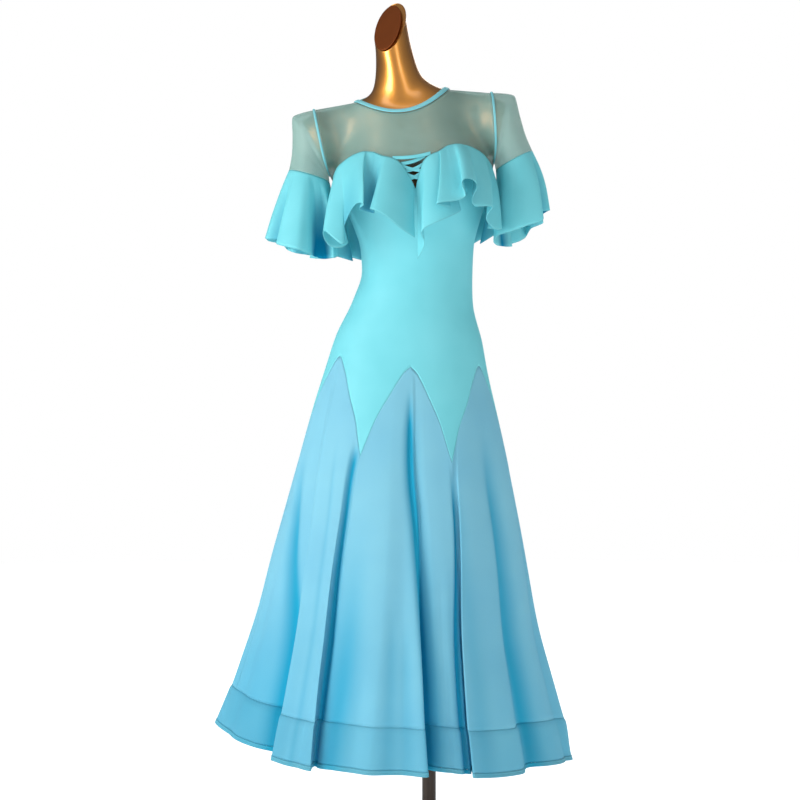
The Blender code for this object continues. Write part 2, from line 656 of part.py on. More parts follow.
def make_skirt():
    """Six gores that open into folds below the zigzag seam, and the deep band at the hem."""
    knots = np.append(FOLDS["cloth"], FOLDS["cloth"][0] + 360.0)
    folds = np.sort(np.concatenate([knots[:-1], (knots[1:] + knots[:-1]) / 2]))
    folds = folds[np.abs(folds[:, None] - APEXES).min(axis=1) > 1.2]
    rows = np.array([0.0, 0.08, 0.2, 0.36, 0.56, 0.78, 1.0])[:, None]
    for i, start in enumerate(TAILS):
        end = TAILS[i + 1] if i < 5 else TAILS[0] + 360.0
        inside = np.sort(np.concatenate([folds, folds + 360.0, APEXES]))
        inside = inside[(inside > start + 0.8) & (inside < end - 0.8)]
        angle = np.concatenate([[start + 0.12], inside, [end - 0.12]])
        top = by_column(angle, "seam") - GORE_SEAM_GAP / 2
        height = top * (1 - rows) + (BAND_SEAM_HEIGHT + SEAM_GAP / 2) * rows
        cloth(f"skirt_gore_{i + 1}", dress(angle + 0 * height, height), "chiffon")
    braid_top = HEM_HEIGHT + BRAID_WIDTH
    band_top = BAND_SEAM_HEIGHT - SEAM_GAP / 2
    for name, top, bottom, thickness in (("hem_band", band_top, braid_top, CLOTH),
                                         ("hem_braid", braid_top - SEAM_GAP, HEM_HEIGHT, BRAID_THICKNESS)):
        height = np.array([top, bottom])[:, None] + 0 * folds
        cloth(name, dress(folds + 0 * height, height), "chiffon", thickness, closed=True)


def neck_rings(angle):
    """The form's neck from the neckline up to its slanted cut, low at the front and the wearer's right."""
    base = neckline(angle)
    turned = np.radians(angle)
    cut_across = NECK["half_width"][-1] * np.sin(turned)
    facing = (1 + np.cos(turned)) / 2
    cut = NECK_CUT["back_height"] + (NECK_CUT["front_height"] - NECK_CUT["back_height"]) * facing
    cut = cut + NECK_CUT["slope_across"] * cut_across
    rows = []
    for i, rise in enumerate(NECK["rise"]):
        depth = np.where(np.cos(turned) > 0, NECK["front"][i], NECK["back"][i])
        rows.append(np.stack([NECK["across"][i] + NECK["half_width"][i] * np.sin(turned),
                              NECK["depth"][i] - depth * np.cos(turned),
                              base[:, 2] * (1 - rise) + cut * rise], axis=-1))
    return np.stack(rows)


def add_grid(built, points, closed=False):
    """Adds a grid of points to a mesh under construction and returns its corners, row by row."""
    corners = [[built.verts.new(p) for p in row] for row in points.tolist()]
    columns = len(corners[0])
    for upper, lower in zip(corners, corners[1:]):
        for i in range(columns if closed else columns - 1):
            j = (i + 1) % columns
            built.faces.new((upper[i], lower[i], lower[j]))
            built.faces.new((upper[i], lower[j], upper[j]))
    return corners


def make_form():
    """The smooth limbless form. It follows the inside of the dress, so that the yoke rests on its shoulders.
    Its patches meet point to point, are merged, and then drawn in by the clearance to the cloth."""
    built = bmesh.new()
    neck_angles = []
    for facing in (1, -1):
        grid = yoke_grid(facing)
        add_grid(built, grid)
        neck_angles.append(np.degrees(np.arctan2(grid[0, :, 0], -grid[0, :, 1] * NECKLINE["half_width"]
                           / (NECKLINE["front"] if facing > 0 else NECKLINE["back"]))))
    angle = np.concatenate([neck_angles[0], neck_angles[1][::-1][1:-1]])
    neck = neck_rings(angle)
    lower = add_grid(built, neck[:2], closed=True)[-1]
    upper = add_grid(built, neck[2:, ::2], closed=True)
    for i in range(len(upper[0])):
        ahead = (2 * i + 2) % len(lower)
        beside = upper[0][(i + 1) % len(upper[0])]
        built.faces.new((lower[2 * i], upper[0][i], beside, lower[ahead], lower[2 * i + 1]))
    built.faces.new(upper[-1])
    trunk_angle = np.concatenate([half_ring(FRONT_COLUMNS), half_ring(BACK_COLUMNS)[-2:0:-1]])
    shares = np.array([0.0, 0.05, 0.13, 0.23, 0.35, 0.48, 0.61, 0.74, 0.87, 1.0])[:, None]
    height = by_column(trunk_angle, "top") * (1 - shares) + FORM_BOTTOM * shares
    trunk = add_grid(built, ring(trunk_angle + 0 * height, height), closed=True)
    built.faces.new(trunk[-1][::-1])
    loop_angle = np.linspace(0.0, 360.0, 2 * ARMHOLE_STEPS, endpoint=False)
    for side in (1, -1):
        loop = mirrored(sleeve(loop_angle, np.zeros(len(loop_angle))), side)
        turned = np.radians(loop_angle)
        end = np.stack([STUMP["across"] + STUMP["lean"] * np.cos(turned), -STUMP["depth"] * np.sin(turned),
                        STUMP["height"] + STUMP["half_height"] * np.cos(turned)], axis=-1)
        end = mirrored(end, side)
        stump = add_grid(built, np.stack([loop, loop * 0.45 + end * 0.55, end]), closed=True)
        built.faces.new(stump[-1])
    bmesh.ops.remove_doubles(built, verts=built.verts[:], dist=0.00005)
    return built


def finish_form(built):
    """Closes the form's mesh, draws it in under the cloth, sways it and cuts its underside level."""
    bmesh.ops.recalc_face_normals(built, faces=built.faces[:])
    built.normal_update()
    points = np.array([v.co[:] for v in built.verts])
    normals = np.array([v.normal[:] for v in built.verts])
    clearance = np.interp(points[:, 2], CLEARANCE["height"], CLEARANCE["gap"])
    placed = sway(points - normals * clearance[:, None])
    lowest = points[:, 2] < FORM_BOTTOM + 0.001
    placed[lowest, 2] = FORM_BOTTOM
    for vertex, place in zip(built.verts, placed.tolist()):
        vertex.co = place
    mesh = bpy.data.meshes.new("form_torso")
    built.to_mesh(mesh)
    built.free()
    return add_object("form_torso", mesh, "gold_form")


def make_neck_cap():
    """The plate over the neck's slanted cut."""
    rim = neck_rings(np.arange(0.0, 360.0, 12.0))[-1]
    middle = rim.mean(axis=0) + NECK_CAP_SHIFT * np.array([1.0, 0.0, NECK_CUT["slope_across"]])
    rim = sway(middle + (rim - rim.mean(axis=0)) * NECK_CAP_SHARES) + np.array([0.0, -0.0009, 0.0016])
    mesh = bpy.data.meshes.new("form_neck_cap")
    mesh.from_pydata(rim.tolist(), [], [tuple(range(len(rim)))])
    plate = add_object("form_neck_cap", mesh, "bronze_face")
    mesh.shade_flat()
    wall = plate.modifiers.new("wall", "SOLIDIFY")
    wall.thickness = NECK_CAP_THICKNESS
    wall.offset = 0.0


def turned_piece(name, radius, low, high, segments, material_name, edge=0.0):
    """A round bar or plate about the stand's axis, its rims rounded where edge is given."""
    bpy.ops.mesh.primitive_cylinder_add(vertices=segments, radius=radius, depth=high - low,
                                        location=(0.0, 0.0, (low + high) / 2))
    made = bpy.context.object
    made.name = made.data.name = name
    bpy.context.collection.objects.unlink(made)
    bpy.data.collections["dance_dress"].objects.link(made)
    made.data.materials.append(material(material_name))
    made.data.shade_smooth()
    made.data.set_sharp_from_angle(angle=np.radians(40))
    if edge:
        rim = made.modifiers.new("rim", "BEVEL")
        rim.width = edge
        rim.segments = 2
        rim.limit_method = "ANGLE"
    return made


def make_stand():
    """Base plate, pole and the socket under the form, face to face with a hair's gap."""
    gap = 0.0003
    turned_piece("stand_base", BASE_RADIUS, 0.0, BASE_THICKNESS, 48, "dark_steel", BASE_EDGE)
    socket_low = FORM_BOTTOM - gap - SOCKET_HEIGHT
    turned_piece("stand_pole", POLE_RADIUS, BASE_THICKNESS + gap, socket_low - gap, 20, "dark_steel")
    turned_piece("stand_socket", SOCKET_RADIUS, socket_low, FORM_BOTTOM - gap, 24, "dark_steel")


def main():
    for old in list(bpy.data.objects):
        bpy.data.objects.remove(old)
    dress_collection = bpy.data.collections.new("dance_dress")
    bpy.context.scene.collection.children.link(dress_collection)
    make_bodice()
    make_yoke()
    make_neck_binding()
    make_sleeves()
    make_sleeve_flounces()
    make_bust_flounces()
    make_back_flounce()
    make_laces()
    make_skirt()
    finish_form(make_form())
    make_neck_cap()
    make_stand()


main()
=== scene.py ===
"""The ballroom dance dress on its form: finished cloth, form, stand, materials, light and camera.

Frame: metres, +Z up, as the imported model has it. The dress faces -Y and +X is the wearer's left. Every cloth
piece is worked out on a straight, upright body in (across, depth, height); sway then shifts, turns and tilts
it level by level, as the form stands. Many tables are the ones the solids were made from. These differ:
about half the rows of the skirt's folds, by a few millimetres; the bust flounces' hems, which turn more
often here; the cloth's walls and seam gaps, which are thinner here, and the braid, which is thicker; the
cuffs' inner ends, the neck's plate and the form's clearance. The skirt's creases, valleys, bows and band
step are only here.
"""

import bmesh
import bpy
import numpy as np
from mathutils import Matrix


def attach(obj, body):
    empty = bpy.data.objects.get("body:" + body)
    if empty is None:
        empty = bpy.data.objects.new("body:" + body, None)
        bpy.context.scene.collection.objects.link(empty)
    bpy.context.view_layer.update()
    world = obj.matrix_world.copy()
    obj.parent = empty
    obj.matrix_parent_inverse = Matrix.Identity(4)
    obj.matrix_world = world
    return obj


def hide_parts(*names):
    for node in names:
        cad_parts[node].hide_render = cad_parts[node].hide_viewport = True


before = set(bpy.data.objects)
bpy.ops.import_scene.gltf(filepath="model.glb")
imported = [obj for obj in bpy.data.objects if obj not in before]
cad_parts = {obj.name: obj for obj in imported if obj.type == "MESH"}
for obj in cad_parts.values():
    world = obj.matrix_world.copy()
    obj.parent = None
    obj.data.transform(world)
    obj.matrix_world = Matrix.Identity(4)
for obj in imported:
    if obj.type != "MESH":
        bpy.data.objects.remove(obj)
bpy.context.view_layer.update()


def table(names, rows):
    """A table with named columns: one array for each name."""
    return dict(zip(names.split(), np.array(rows, float).T))


# Driving sizes, in metres
CLOTH = 0.0009
MESH_CLOTH = 0.0005
SEAM_GAP = 0.0001
BAND_SEAM_HEIGHT = 0.254
HEM_HEIGHT = 0.176
BRAID_WIDTH = 0.008
BRAID_THICKNESS = 0.0024
FULLNESS_POWER = 0.8
BAND_STANDS_OUT = 0.008
FORM_BOTTOM = 0.790
POLE_RADIUS = 0.0130
SOCKET_RADIUS = 0.034
SOCKET_HEIGHT = 0.016
BASE_RADIUS = 0.170
BASE_THICKNESS = 0.010
BASE_EDGE = 0.003

# How far each level of the straight body is shifted across, turned to the wearer's left and tilted left
# side up
SWAY = table("height shift turn tilt", [
    (0, -0.064, 0, -4.8), (0.25, -0.058, 0.5, -4.8), (0.4, -0.0555, 1.5, -4.5), (0.6, -0.0485, 2.2, -4),
    (0.71, -0.0458, 1, -4), (0.88, -0.0405, 3, -4), (1, -0.031, 2, -2.5), (1.07, -0.022, 1, 0),
    (1.2, -0.0255, 0, 3), (1.27, -0.034, 0, 4.5), (1.38, -0.0485, 0, 5.5), (1.49, -0.067, 0, 6),
    (1.6, -0.075, 0, 6),
])

# The body ring at each level: half its width, and its depth in front of and behind the middle
RINGS = table("height half_width front back", [
    (0.15, 0.347, 0.335, 0.34), (0.178, 0.337, 0.325, 0.33), (0.254, 0.309, 0.298, 0.304),
    (0.3, 0.295, 0.284, 0.291), (0.41, 0.2635, 0.244, 0.259), (0.52, 0.241, 0.208, 0.232),
    (0.62, 0.218, 0.174, 0.204), (0.71, 0.1965, 0.145, 0.177), (0.8, 0.174, 0.12, 0.147),
    (0.885, 0.151, 0.105, 0.123), (0.94, 0.137, 0.098, 0.108), (1.01, 0.112, 0.089, 0.084),
    (1.065, 0.1035, 0.086, 0.076), (1.11, 0.106, 0.09, 0.08), (1.16, 0.12, 0.1, 0.09),
    (1.21, 0.139, 0.112, 0.099), (1.26, 0.153, 0.11, 0.103), (1.31, 0.158, 0.097, 0.1),
])
CUP = {"across": 0.070, "height": 1.205, "half_width": 0.042, "half_height": 0.046, "rise": 0.017}

# The columns of cloth in each quarter of the ring, with the height of the bodice's top edge and the zigzag
# seam under it. The bodice's tails are at 25.5, 90 and 154.5 degrees.
COLUMNS = table("angle top seam", [
    (0, 1.2115, 0.886), (4, 1.238, 0.876), (7.5, 1.2595, 0.8607), (12.5, 1.2705, 0.832),
    (19, 1.2765, 0.789), (25.5, 1.286, 0.717), (32, 1.2885, 0.78), (40, 1.286, 0.8232),
    (50, 1.2785, 0.87), (61, 1.2675, 0.897), (72, 1.255, 0.8592), (81, 1.248, 0.8052), (90, 1.245, 0.717),
    (99, 1.248, 0.8052), (108, 1.251, 0.8592), (119, 1.2545, 0.897), (130, 1.257, 0.87),
    (140, 1.259, 0.8232), (148, 1.2605, 0.78), (154.5, 1.261, 0.717), (159.5, 1.2615, 0.7778),
    (165, 1.2618, 0.815), (172.5, 1.262, 0.8607), (180, 1.262, 0.886),
])
QUARTERS = [(0, 5), (5, 12), (12, 19), (19, 23)]
TAILS = [-154.5, -90.0, -25.5, 25.5, 90.0, 154.5]

# Skirt folds at the hem, a row for each ridge, edge and valley: the cloth's own angle, where it hangs, how
# far out, and how much higher than the hem's usual height
FOLDS = table("cloth hangs reach lift", [
    (-178, -176, 0.82, 0), (-169, -168, 0.98, 0), (-160, -160, 0.97, 0), (-152, -153, 0.8, 0),
    (-143, -142, 0.99, 0), (-132, -130, 0.99, 0), (-124, -123, 0.83, 0.003), (-114, -113, 0.98, 0.004),
    (-105, -106, 0.92, 0.006), (-96, -97, 1.03, 0.009), (-88, -87, 0.97, 0.004), (-80, -74, 0.925, 0),
    (-72, -60, 0.885, -0.002), (-65, -48, 0.85, -0.003), (-57, -41, 1, -0.006), (-46, -36, 0.985, -0.01),
    (-36, -29.8, 0.995, -0.011), (-31, -27, 0.998, -0.011), (-27.5, -29.6, 0.895, -0.009),
    (-23.5, -26.6, 0.915, -0.009), (-17, -18.6, 0.972, -0.005), (-9, -8.9, 1, -0.004),
    (-4, 1.1, 0.955, -0.001), (-1, 7.2, 0.99, 0), (0.8, 8.8, 1, 0.001), (3.5, 10.2, 0.83, 0.003),
    (9, 15.5, 0.885, 0.004), (17, 20.5, 0.9, 0.003), (23, 24.6, 0.9, 0.002), (27, 29, 0.78, 0.002),
    (32, 24, 0.9775, 0.001), (36, 28.5, 0.975, 0.001), (46, 43.5, 0.945, 0.003), (56, 54.5, 0.885, 0.006),
    (66, 66.5, 0.93, 0.007), (75, 76, 0.94, 0.006), (85, 86, 0.972, 0.004), (95, 96, 0.93, 0.002),
    (104, 104, 0.98, 0), (113, 114, 0.98, 0), (122, 122, 0.83, 0), (132, 131, 0.98, 0),
    (143, 142, 0.99, 0), (151, 151, 0.81, 0), (160, 159, 0.98, 0), (171, 172, 0.99, 0),
])

# Softer creases in the skirt: where in the cloth, how wide in degrees, how deep as a share
# of the ring (one with a negative depth stands out instead), and between which heights
CREASES = table("angle half_width depth low high", [
    (-166, 3, 0.012, 0.2, 0.62), (-137, 3.5, 0.015, 0.16, 0.7), (-109, 3, 0.012, 0.22, 0.58),
    (-84, 3.2, 0.014, 0.16, 0.66), (-60, 2.6, 0.01, 0.3, 0.74), (-40, 3.4, 0.016, 0.16, 0.6),
    (-20, 2.2, 0.01, 0.2, 0.52), (-13, 2.8, 0.014, 0.16, 0.46), (13, 2.4, 0.012, 0.2, 0.6),
    (20, 2, 0.008, 0.3, 0.64), (40, 2.8, 0.012, 0.24, 0.66), (52, 3.2, 0.014, 0.16, 0.62),
    (65, 3, 0.012, 0.2, 0.7), (79, 2.6, 0.012, 0.16, 0.56), (88, 9, -0.04, 0.26, 0.56),
    (99, 3, 0.012, 0.2, 0.66), (127, 3, 0.01, 0.24, 0.58), (147, 2.6, 0.012, 0.16, 0.64),
    (165, 3.2, 0.014, 0.2, 0.6),
])

# Deep valleys between folds: where in the cloth at the top and at the hem, how wide in degrees, how deep as
# a share of the ring, how much painted shade deepens the colour in each, and the heights where each starts
# and is full. The first row deepens the colour all round, more towards the hem.
VALLEYS = table("high low half_width depth tone top full", [
    (0, 0, 999, 0, 0.2, 0.66, 0.26), (-166, -167, 3, 0.03, 0.35, 0.72, 0.5),
    (-152, -152, 3, 0.04, 0.5, 0.7, 0.5), (-124, -124, 3, 0.035, 0.45, 0.72, 0.5),
    (-88, -78, 20, 0, 0.34, 0.5, 0.26), (-78, -66, 3.6, 0.04, 0.85, 0.74, 0.55),
    (-44, -44, 1.6, 0.004, 0.2, 0.76, 0.66), (-28, -26.4, 1.8, 0.035, 1, 0.745, 0.7),
    (-21.5, -20, 5, 0.004, 0.6, 0.66, 0.3), (-7, -6, 1.2, 0.006, 0.22, 0.48, 0.36),
    (-3.5, -3.2, 1, 0.005, 0.2, 0.45, 0.34), (-0.6, 3.6, 2, 0.06, 1, 0.86, 0.76),
    (1.5, 6.8, 3.6, 0.012, 0.5, 0.84, 0.72), (25.5, 22, 1.7, 0.045, 1, 0.71, 0.62),
    (31, 36, 3, 0.004, 0.22, 0.72, 0.6), (54, 57, 5.5, 0.04, 0.75, 0.8, 0.62),
    (80, 80, 3, 0.01, 0.15, 0.7, 0.5), (122, 122, 3, 0.035, 0.45, 0.74, 0.5),
    (151, 151, 3, 0.04, 0.5, 0.7, 0.5), (166, 166, 3, 0.03, 0.35, 0.72, 0.5),
])

# Folds that bow to the wearer's right halfway down: where in the cloth, how wide and by how much
BOWS = table("angle half_width turn", [
    (-29, 6, -18), (33, 5, -10),
])

NECKLINE = {"half_width": 0.091, "front": 0.072, "back": 0.060, "front_height": 1.356,
            "side_height": 1.3955, "back_height": 1.413, "lean": 0.0035}
ARMPIT = (0.156, 1.262)
YOKE_CROWN = 0.006
ARMHOLE_STEPS = 6
NECK_SHARE = 0.36

# The sleeve's rings from the armhole (0) to the cuff (1): its outermost point and its depth in front and
# behind
SLEEVE = table("share across height front back", [
    (0, 0.1645, 1.386, 0.056, 0.06), (0.25, 0.19, 1.3825, 0.055, 0.058),
    (0.42, 0.2095, 1.3755, 0.053, 0.056), (0.6, 0.2145, 1.338, 0.053, 0.055),
    (0.8, 0.22, 1.305, 0.056, 0.058), (1, 0.229, 1.274, 0.06, 0.062),
])
CUFF_INNER = (0.157, 1.245)

# Hems of the sleeve flounces: angle round the cuff from outside over the front, then where the hem hangs
LEFT_SLEEVE_HEM = table("around across depth height", [
    (0, 0.248, -0.01, 1.17), (20, 0.248, -0.05, 1.167), (31, 0.202, -0.05, 1.165),
    (40, 0.232, -0.098, 1.151), (75, 0.2, -0.106, 1.138), (100, 0.172, -0.098, 1.13),
    (122, 0.146, -0.072, 1.124), (145, 0.142, -0.038, 1.118), (170, 0.152, -0.006, 1.112),
    (195, 0.168, 0.024, 1.112), (215, 0.182, 0.052, 1.114), (235, 0.176, 0.088, 1.118),
    (255, 0.2, 0.09, 1.126), (275, 0.212, 0.116, 1.134), (300, 0.22, 0.08, 1.146),
    (320, 0.244, 0.076, 1.156), (340, 0.236, 0.036, 1.164),
])
RIGHT_SLEEVE_HEM = table("around across depth height", [
    (0, 0.284, -0.006, 1.137), (24, 0.281, -0.044, 1.132), (38, 0.256, -0.056, 1.128),
    (52, 0.26, -0.088, 1.118), (72, 0.222, -0.112, 1.104), (88, 0.204, -0.098, 1.097),
    (104, 0.188, -0.052, 1.092), (118, 0.174, -0.05, 1.088), (134, 0.156, -0.078, 1.088),
    (154, 0.15, -0.034, 1.094), (175, 0.156, -0.004, 1.096), (196, 0.176, 0.022, 1.096),
    (214, 0.178, 0.056, 1.096), (234, 0.204, 0.074, 1.1), (252, 0.202, 0.11, 1.106),
    (278, 0.232, 0.094, 1.112), (298, 0.248, 0.106, 1.12), (318, 0.256, 0.06, 1.128),
    (340, 0.282, 0.042, 1.135),
])

# Hems of the bust flounces from the side seam to the foot of the notch, a row for each turn of the cloth:
# where on the seam it starts, where the hem hangs, and how far out the pleat lies at the seam
RIGHT_BUST_HEM = table("seam across depth height out", [
    (0, -0.128, -0.072, 1.118, 0), (0.03, -0.138, -0.085, 1.106, 0), (0.06, -0.163, -0.094, 1.107, 0),
    (0.1, -0.173, -0.107, 1.126, 0), (0.14, -0.174, -0.121, 1.144, 0),
    (0.19, -0.158, -0.141, 1.126, 0.001), (0.24, -0.136, -0.152, 1.104, 0.001),
    (0.29, -0.132, -0.139, 1.118, 0), (0.33, -0.136, -0.125, 1.142, 0), (0.38, -0.128, -0.132, 1.158, 0),
    (0.44, -0.117, -0.15, 1.179, 0), (0.51, -0.105, -0.168, 1.187, 0.001),
    (0.585, -0.095, -0.184, 1.181, 0.004), (0.605, -0.096, -0.176, 1.178, 0.004),
    (0.605, -0.108, -0.15, 1.176, 0.0005), (0.655, -0.092, -0.14, 1.171, 0),
    (0.715, -0.074, -0.144, 1.165, 0), (0.76, -0.081, -0.16, 1.17, 0.0005),
    (0.795, -0.087, -0.177, 1.174, 0.001), (0.82, -0.076, -0.187, 1.168, 0.001),
    (0.845, -0.06, -0.19, 1.159, 0.001), (0.875, -0.046, -0.189, 1.147, 0.001),
    (0.905, -0.033, -0.186, 1.134, 0), (0.945, -0.019, -0.178, 1.125, 0), (1, -0.007, -0.164, 1.118, 0),
])
LEFT_BUST_HEM = table("seam across depth height out", [
    (0, 0.13, -0.072, 1.138, 0), (0.03, 0.15, -0.087, 1.134, 0), (0.06, 0.158, -0.105, 1.135, 0),
    (0.09, 0.144, -0.121, 1.13, 0), (0.12, 0.132, -0.131, 1.138, 0), (0.16, 0.122, -0.136, 1.15, 0),
    (0.19, 0.13, -0.146, 1.161, 0), (0.22, 0.141, -0.158, 1.169, 0.001),
    (0.27, 0.126, -0.17, 1.169, 0.001), (0.32, 0.113, -0.178, 1.168, 0.001),
    (0.37, 0.102, -0.182, 1.168, 0.001), (0.42, 0.097, -0.18, 1.18, 0.001),
    (0.46, 0.109, -0.178, 1.197, 0.001), (0.49, 0.111, -0.182, 1.206, 0.001),
    (0.52, 0.102, -0.19, 1.215, 0.002), (0.55, 0.09, -0.198, 1.217, 0.003),
    (0.58, 0.08, -0.2, 1.211, 0.003), (0.6, 0.085, -0.19, 1.197, 0.002),
    (0.62, 0.091, -0.184, 1.185, 0.001), (0.66, 0.074, -0.188, 1.179, 0.001),
    (0.7, 0.052, -0.196, 1.177, 0.002), (0.745, 0.034, -0.2, 1.176, 0.005),
    (0.76, 0.035, -0.19, 1.172, 0.005), (0.755, 0.056, -0.172, 1.17, 0.0015),
    (0.762, 0.08, -0.158, 1.167, 0), (0.775, 0.08, -0.164, 1.163, 0), (0.8, 0.064, -0.176, 1.155, 0),
    (0.82, 0.047, -0.184, 1.148, 0.001), (0.85, 0.032, -0.188, 1.142, 0.001),
    (0.88, 0.017, -0.188, 1.136, 0), (0.92, 0.001, -0.184, 1.127, 0), (0.95, 0.011, -0.174, 1.112, 0),
    (0.98, 0.01, -0.164, 1.1, 0), (1, -0.003, -0.152, 1.08, 0),
])
BUST_SEAM_START = 76.0
BUST_SEAM_END = 0.985
SEAM_LIFT = 0.0020
FLOUNCE_FULLNESS = 0.0035
STRAP_ROOM = 0.0045
STRAP_ANGLES = (16.0, 24.0)
BACK_HEM = {"half_width": 0.145, "depth": 0.162, "height": 1.112, "waves": 8, "wave": 0.012, "rise": 0.006,
            "from_side": 14.0, "slope": 0.12}

# Lacing over the notch: where each strap's two ends lie and which layer it is in
LACES = table("from_across from_height to_across to_height layer", [
    (-0.02, 1.2585, 0.026, 1.27, 0), (-0.018, 1.244, 0.023, 1.2565, 0), (-0.015, 1.229, 0.019, 1.243, 0),
    (-0.023, 1.257, 0.018, 1.243, 1), (-0.019, 1.243, 0.015, 1.229, 1),
    (-0.034, 1.2705, 0.036, 1.2735, 2.6),
])
LACE_WIDTH = 0.0064
LACE_SAG = 0.003
LACE_THICKNESS = 0.0010
LACE_FIRST_LAYER = 0.0015
LACE_LAYER = 0.0013

# The form's neck: each level's middle and half sizes, up to the slanted cut
NECK = table("rise across depth half_width front back", [
    (0, 0, 0, 0.091, 0.072, 0.06), (0.1, -0.001, 0.002, 0.062, 0.061, 0.055),
    (0.24, -0.003, 0.005, 0.047, 0.053, 0.052), (0.5, -0.0012, 0.01, 0.0392, 0.051, 0.051),
    (0.75, -0.0012, 0.012, 0.0348, 0.05, 0.05), (1, -0.0033, 0.012, 0.0328, 0.047, 0.047),
])
# How far the form lies inside the cloth at each level
CLEARANCE = table("height gap", [
    (0.79, 0.0165), (0.84, 0.011), (0.92, 0.005), (1.06, 0.0065), (1.16, 0.0045), (1.24, 0.0045),
    (1.3, 0.005), (1.345, 0.004), (1.385, 0.0018),
])
NECK_CUT = {"front_height": 1.483, "back_height": 1.577, "slope_across": 0.66}
CAP_SHIFT = -0.0042
CAP_SHARES = (0.86, 1.0, 0.97)
STUMP = {"across": 0.181, "lean": 0.015, "depth": 0.046, "height": 1.322, "half_height": 0.047}


def through(x, knots, values):
    """A smooth curve through the rows of a table: cubic pieces that stay level at each ridge and valley."""
    step = np.diff(knots)
    slope = np.diff(values) / step
    tangent = np.zeros(len(knots))
    before, after = slope[:-1], slope[1:]
    near, far = 2 * step[1:] + step[:-1], step[1:] + 2 * step[:-1]
    going_on = before * after > 0
    safe_before, safe_after = np.where(going_on, before, 1.0), np.where(going_on, after, 1.0)
    tangent[1:-1] = np.where(going_on, (near + far) / (near / safe_before + far / safe_after), 0.0)
    tangent[0], tangent[-1] = slope[0], slope[-1]
    x = np.clip(x, knots[0], knots[-1])
    i = np.clip(np.searchsorted(knots, x, side="right") - 1, 0, len(step) - 1)
    s = (x - knots[i]) / step[i]
    rise, fall = s * s * (3 - 2 * s), s * (1 - s) ** 2
    return (values[i] * (1 - rise) + values[i + 1] * rise
            + step[i] * (tangent[i] * fall - tangent[i + 1] * s * s * (1 - s)))


def around(angle, knots, values, turn=360.0):
    """The same curve round a closed ring of rows."""
    knots = np.concatenate([knots[-2:] - turn, knots, knots[:2] + turn])
    values = np.concatenate([values[-2:], values, values[:2]])
    return through(knots[2] + np.mod(angle - knots[2], turn), knots, values)


def rounded(turns, values):
    """A curve near the rows of a table, one step apart, that rounds its corners: uniform cubic B-spline."""
    values = np.concatenate([2 * values[:1] - values[1:2], values, 2 * values[-1:] - values[-2:-1]])
    i = np.clip(turns.astype(int), 0, len(values) - 4)
    s = turns - i
    return ((1 - s) ** 3 * values[i] + (3 * s ** 3 - 6 * s * s + 4) * values[i + 1]
            + (3 * s + 3 * s * s - 3 * s ** 3 + 1) * values[i + 2] + s ** 3 * values[i + 3]) / 6


def soft_step(x, low, high):
    """0 below low, 1 above high and a smooth S between them."""
    s = np.clip((x - low) / (high - low), 0, 1)
    return s * s * (3 - 2 * s)


def sway(points):
    """Straight-body points (across, depth, height) put where the standing form has them."""
    across, depth, height = points[..., 0], points[..., 1], points[..., 2]
    shift = through(height, SWAY["height"], SWAY["shift"])
    turn = np.radians(through(height, SWAY["height"], SWAY["turn"]))
    tilt = np.radians(through(height, SWAY["height"], SWAY["tilt"]))
    turned = across * np.cos(turn) - depth * np.sin(turn)
    back = across * np.sin(turn) + depth * np.cos(turn)
    return np.stack([shift + turned * np.cos(tilt), back, height + turned * np.sin(tilt)], axis=-1)


def ring(angle, height, reach=1.0):
    """The body's oval ring at each height, at an angle from the front towards the wearer's left."""
    half_width = through(height, RINGS["height"], RINGS["half_width"])
    front = through(height, RINGS["height"], RINGS["front"])
    back = through(height, RINGS["height"], RINGS["back"])
    angle = np.radians(angle)
    across = half_width * reach * np.sin(angle)
    depth = -np.where(np.cos(angle) > 0, front, back) * reach * np.cos(angle)
    bulge = np.exp(-((np.abs(across) - CUP["across"]) / CUP["half_width"]) ** 2
                   - ((height - CUP["height"]) / CUP["half_height"]) ** 2)
    depth = depth - CUP["rise"] * bulge * np.clip(np.cos(angle) * 2, 0, 1)
    return np.stack([across, depth, height + 0 * across], axis=-1)


def column_height(angle, name):
    """A column height at an angle round the ring: a smooth curve from one tail of the bodice to the next."""
    off_front = np.abs(np.mod(np.asarray(angle, float) + 180.0, 360.0) - 180.0)
    height = np.zeros(off_front.shape)
    for first, last in QUARTERS:
        knots, values = COLUMNS["angle"][first:last + 1], COLUMNS[name][first:last + 1]
        here = (off_front >= knots[0]) & (off_front <= knots[-1])
        height = np.where(here, through(off_front, knots, values), height)
    return height


def half_ring(facing, finer=1):
    """The angles of the columns from one side seam to the other, over the front (1) or the back (-1)."""
    knots = COLUMNS["angle"]
    angle = knots[knots <= 90.0] if facing > 0 else 180.0 - knots[knots >= 90.0][::-1]
    angle = np.concatenate([-angle[::-1], angle[1:]])
    steps = np.arange(len(angle))
    angle = np.interp(np.linspace(0, len(angle) - 1, finer * (len(angle) - 1) + 1), steps, angle)
    return angle if facing > 0 else 180.0 - angle


def bell(angle, middle, half_width):
    """1 at the middle angle, falling to 0 on both sides of it as a bell curve of this half width."""
    off = (np.mod(angle - middle + 180.0, 360.0) - 180.0) / half_width
    return np.exp(-off * off)


def valleys(angle, height, name):
    """How deep the named column of the valleys is at each angle and height."""
    total = 0.0 * angle * height
    for i, low in enumerate(VALLEYS["low"]):
        middle = low + (VALLEYS["high"][i] - low) * soft_step(height, 0.30, 0.70)
        shape = bell(angle, middle, VALLEYS["half_width"][i])
        along = soft_step(-height, -VALLEYS["top"][i], -VALLEYS["full"][i])
        total = total + VALLEYS[name][i] * shape * along
    return total


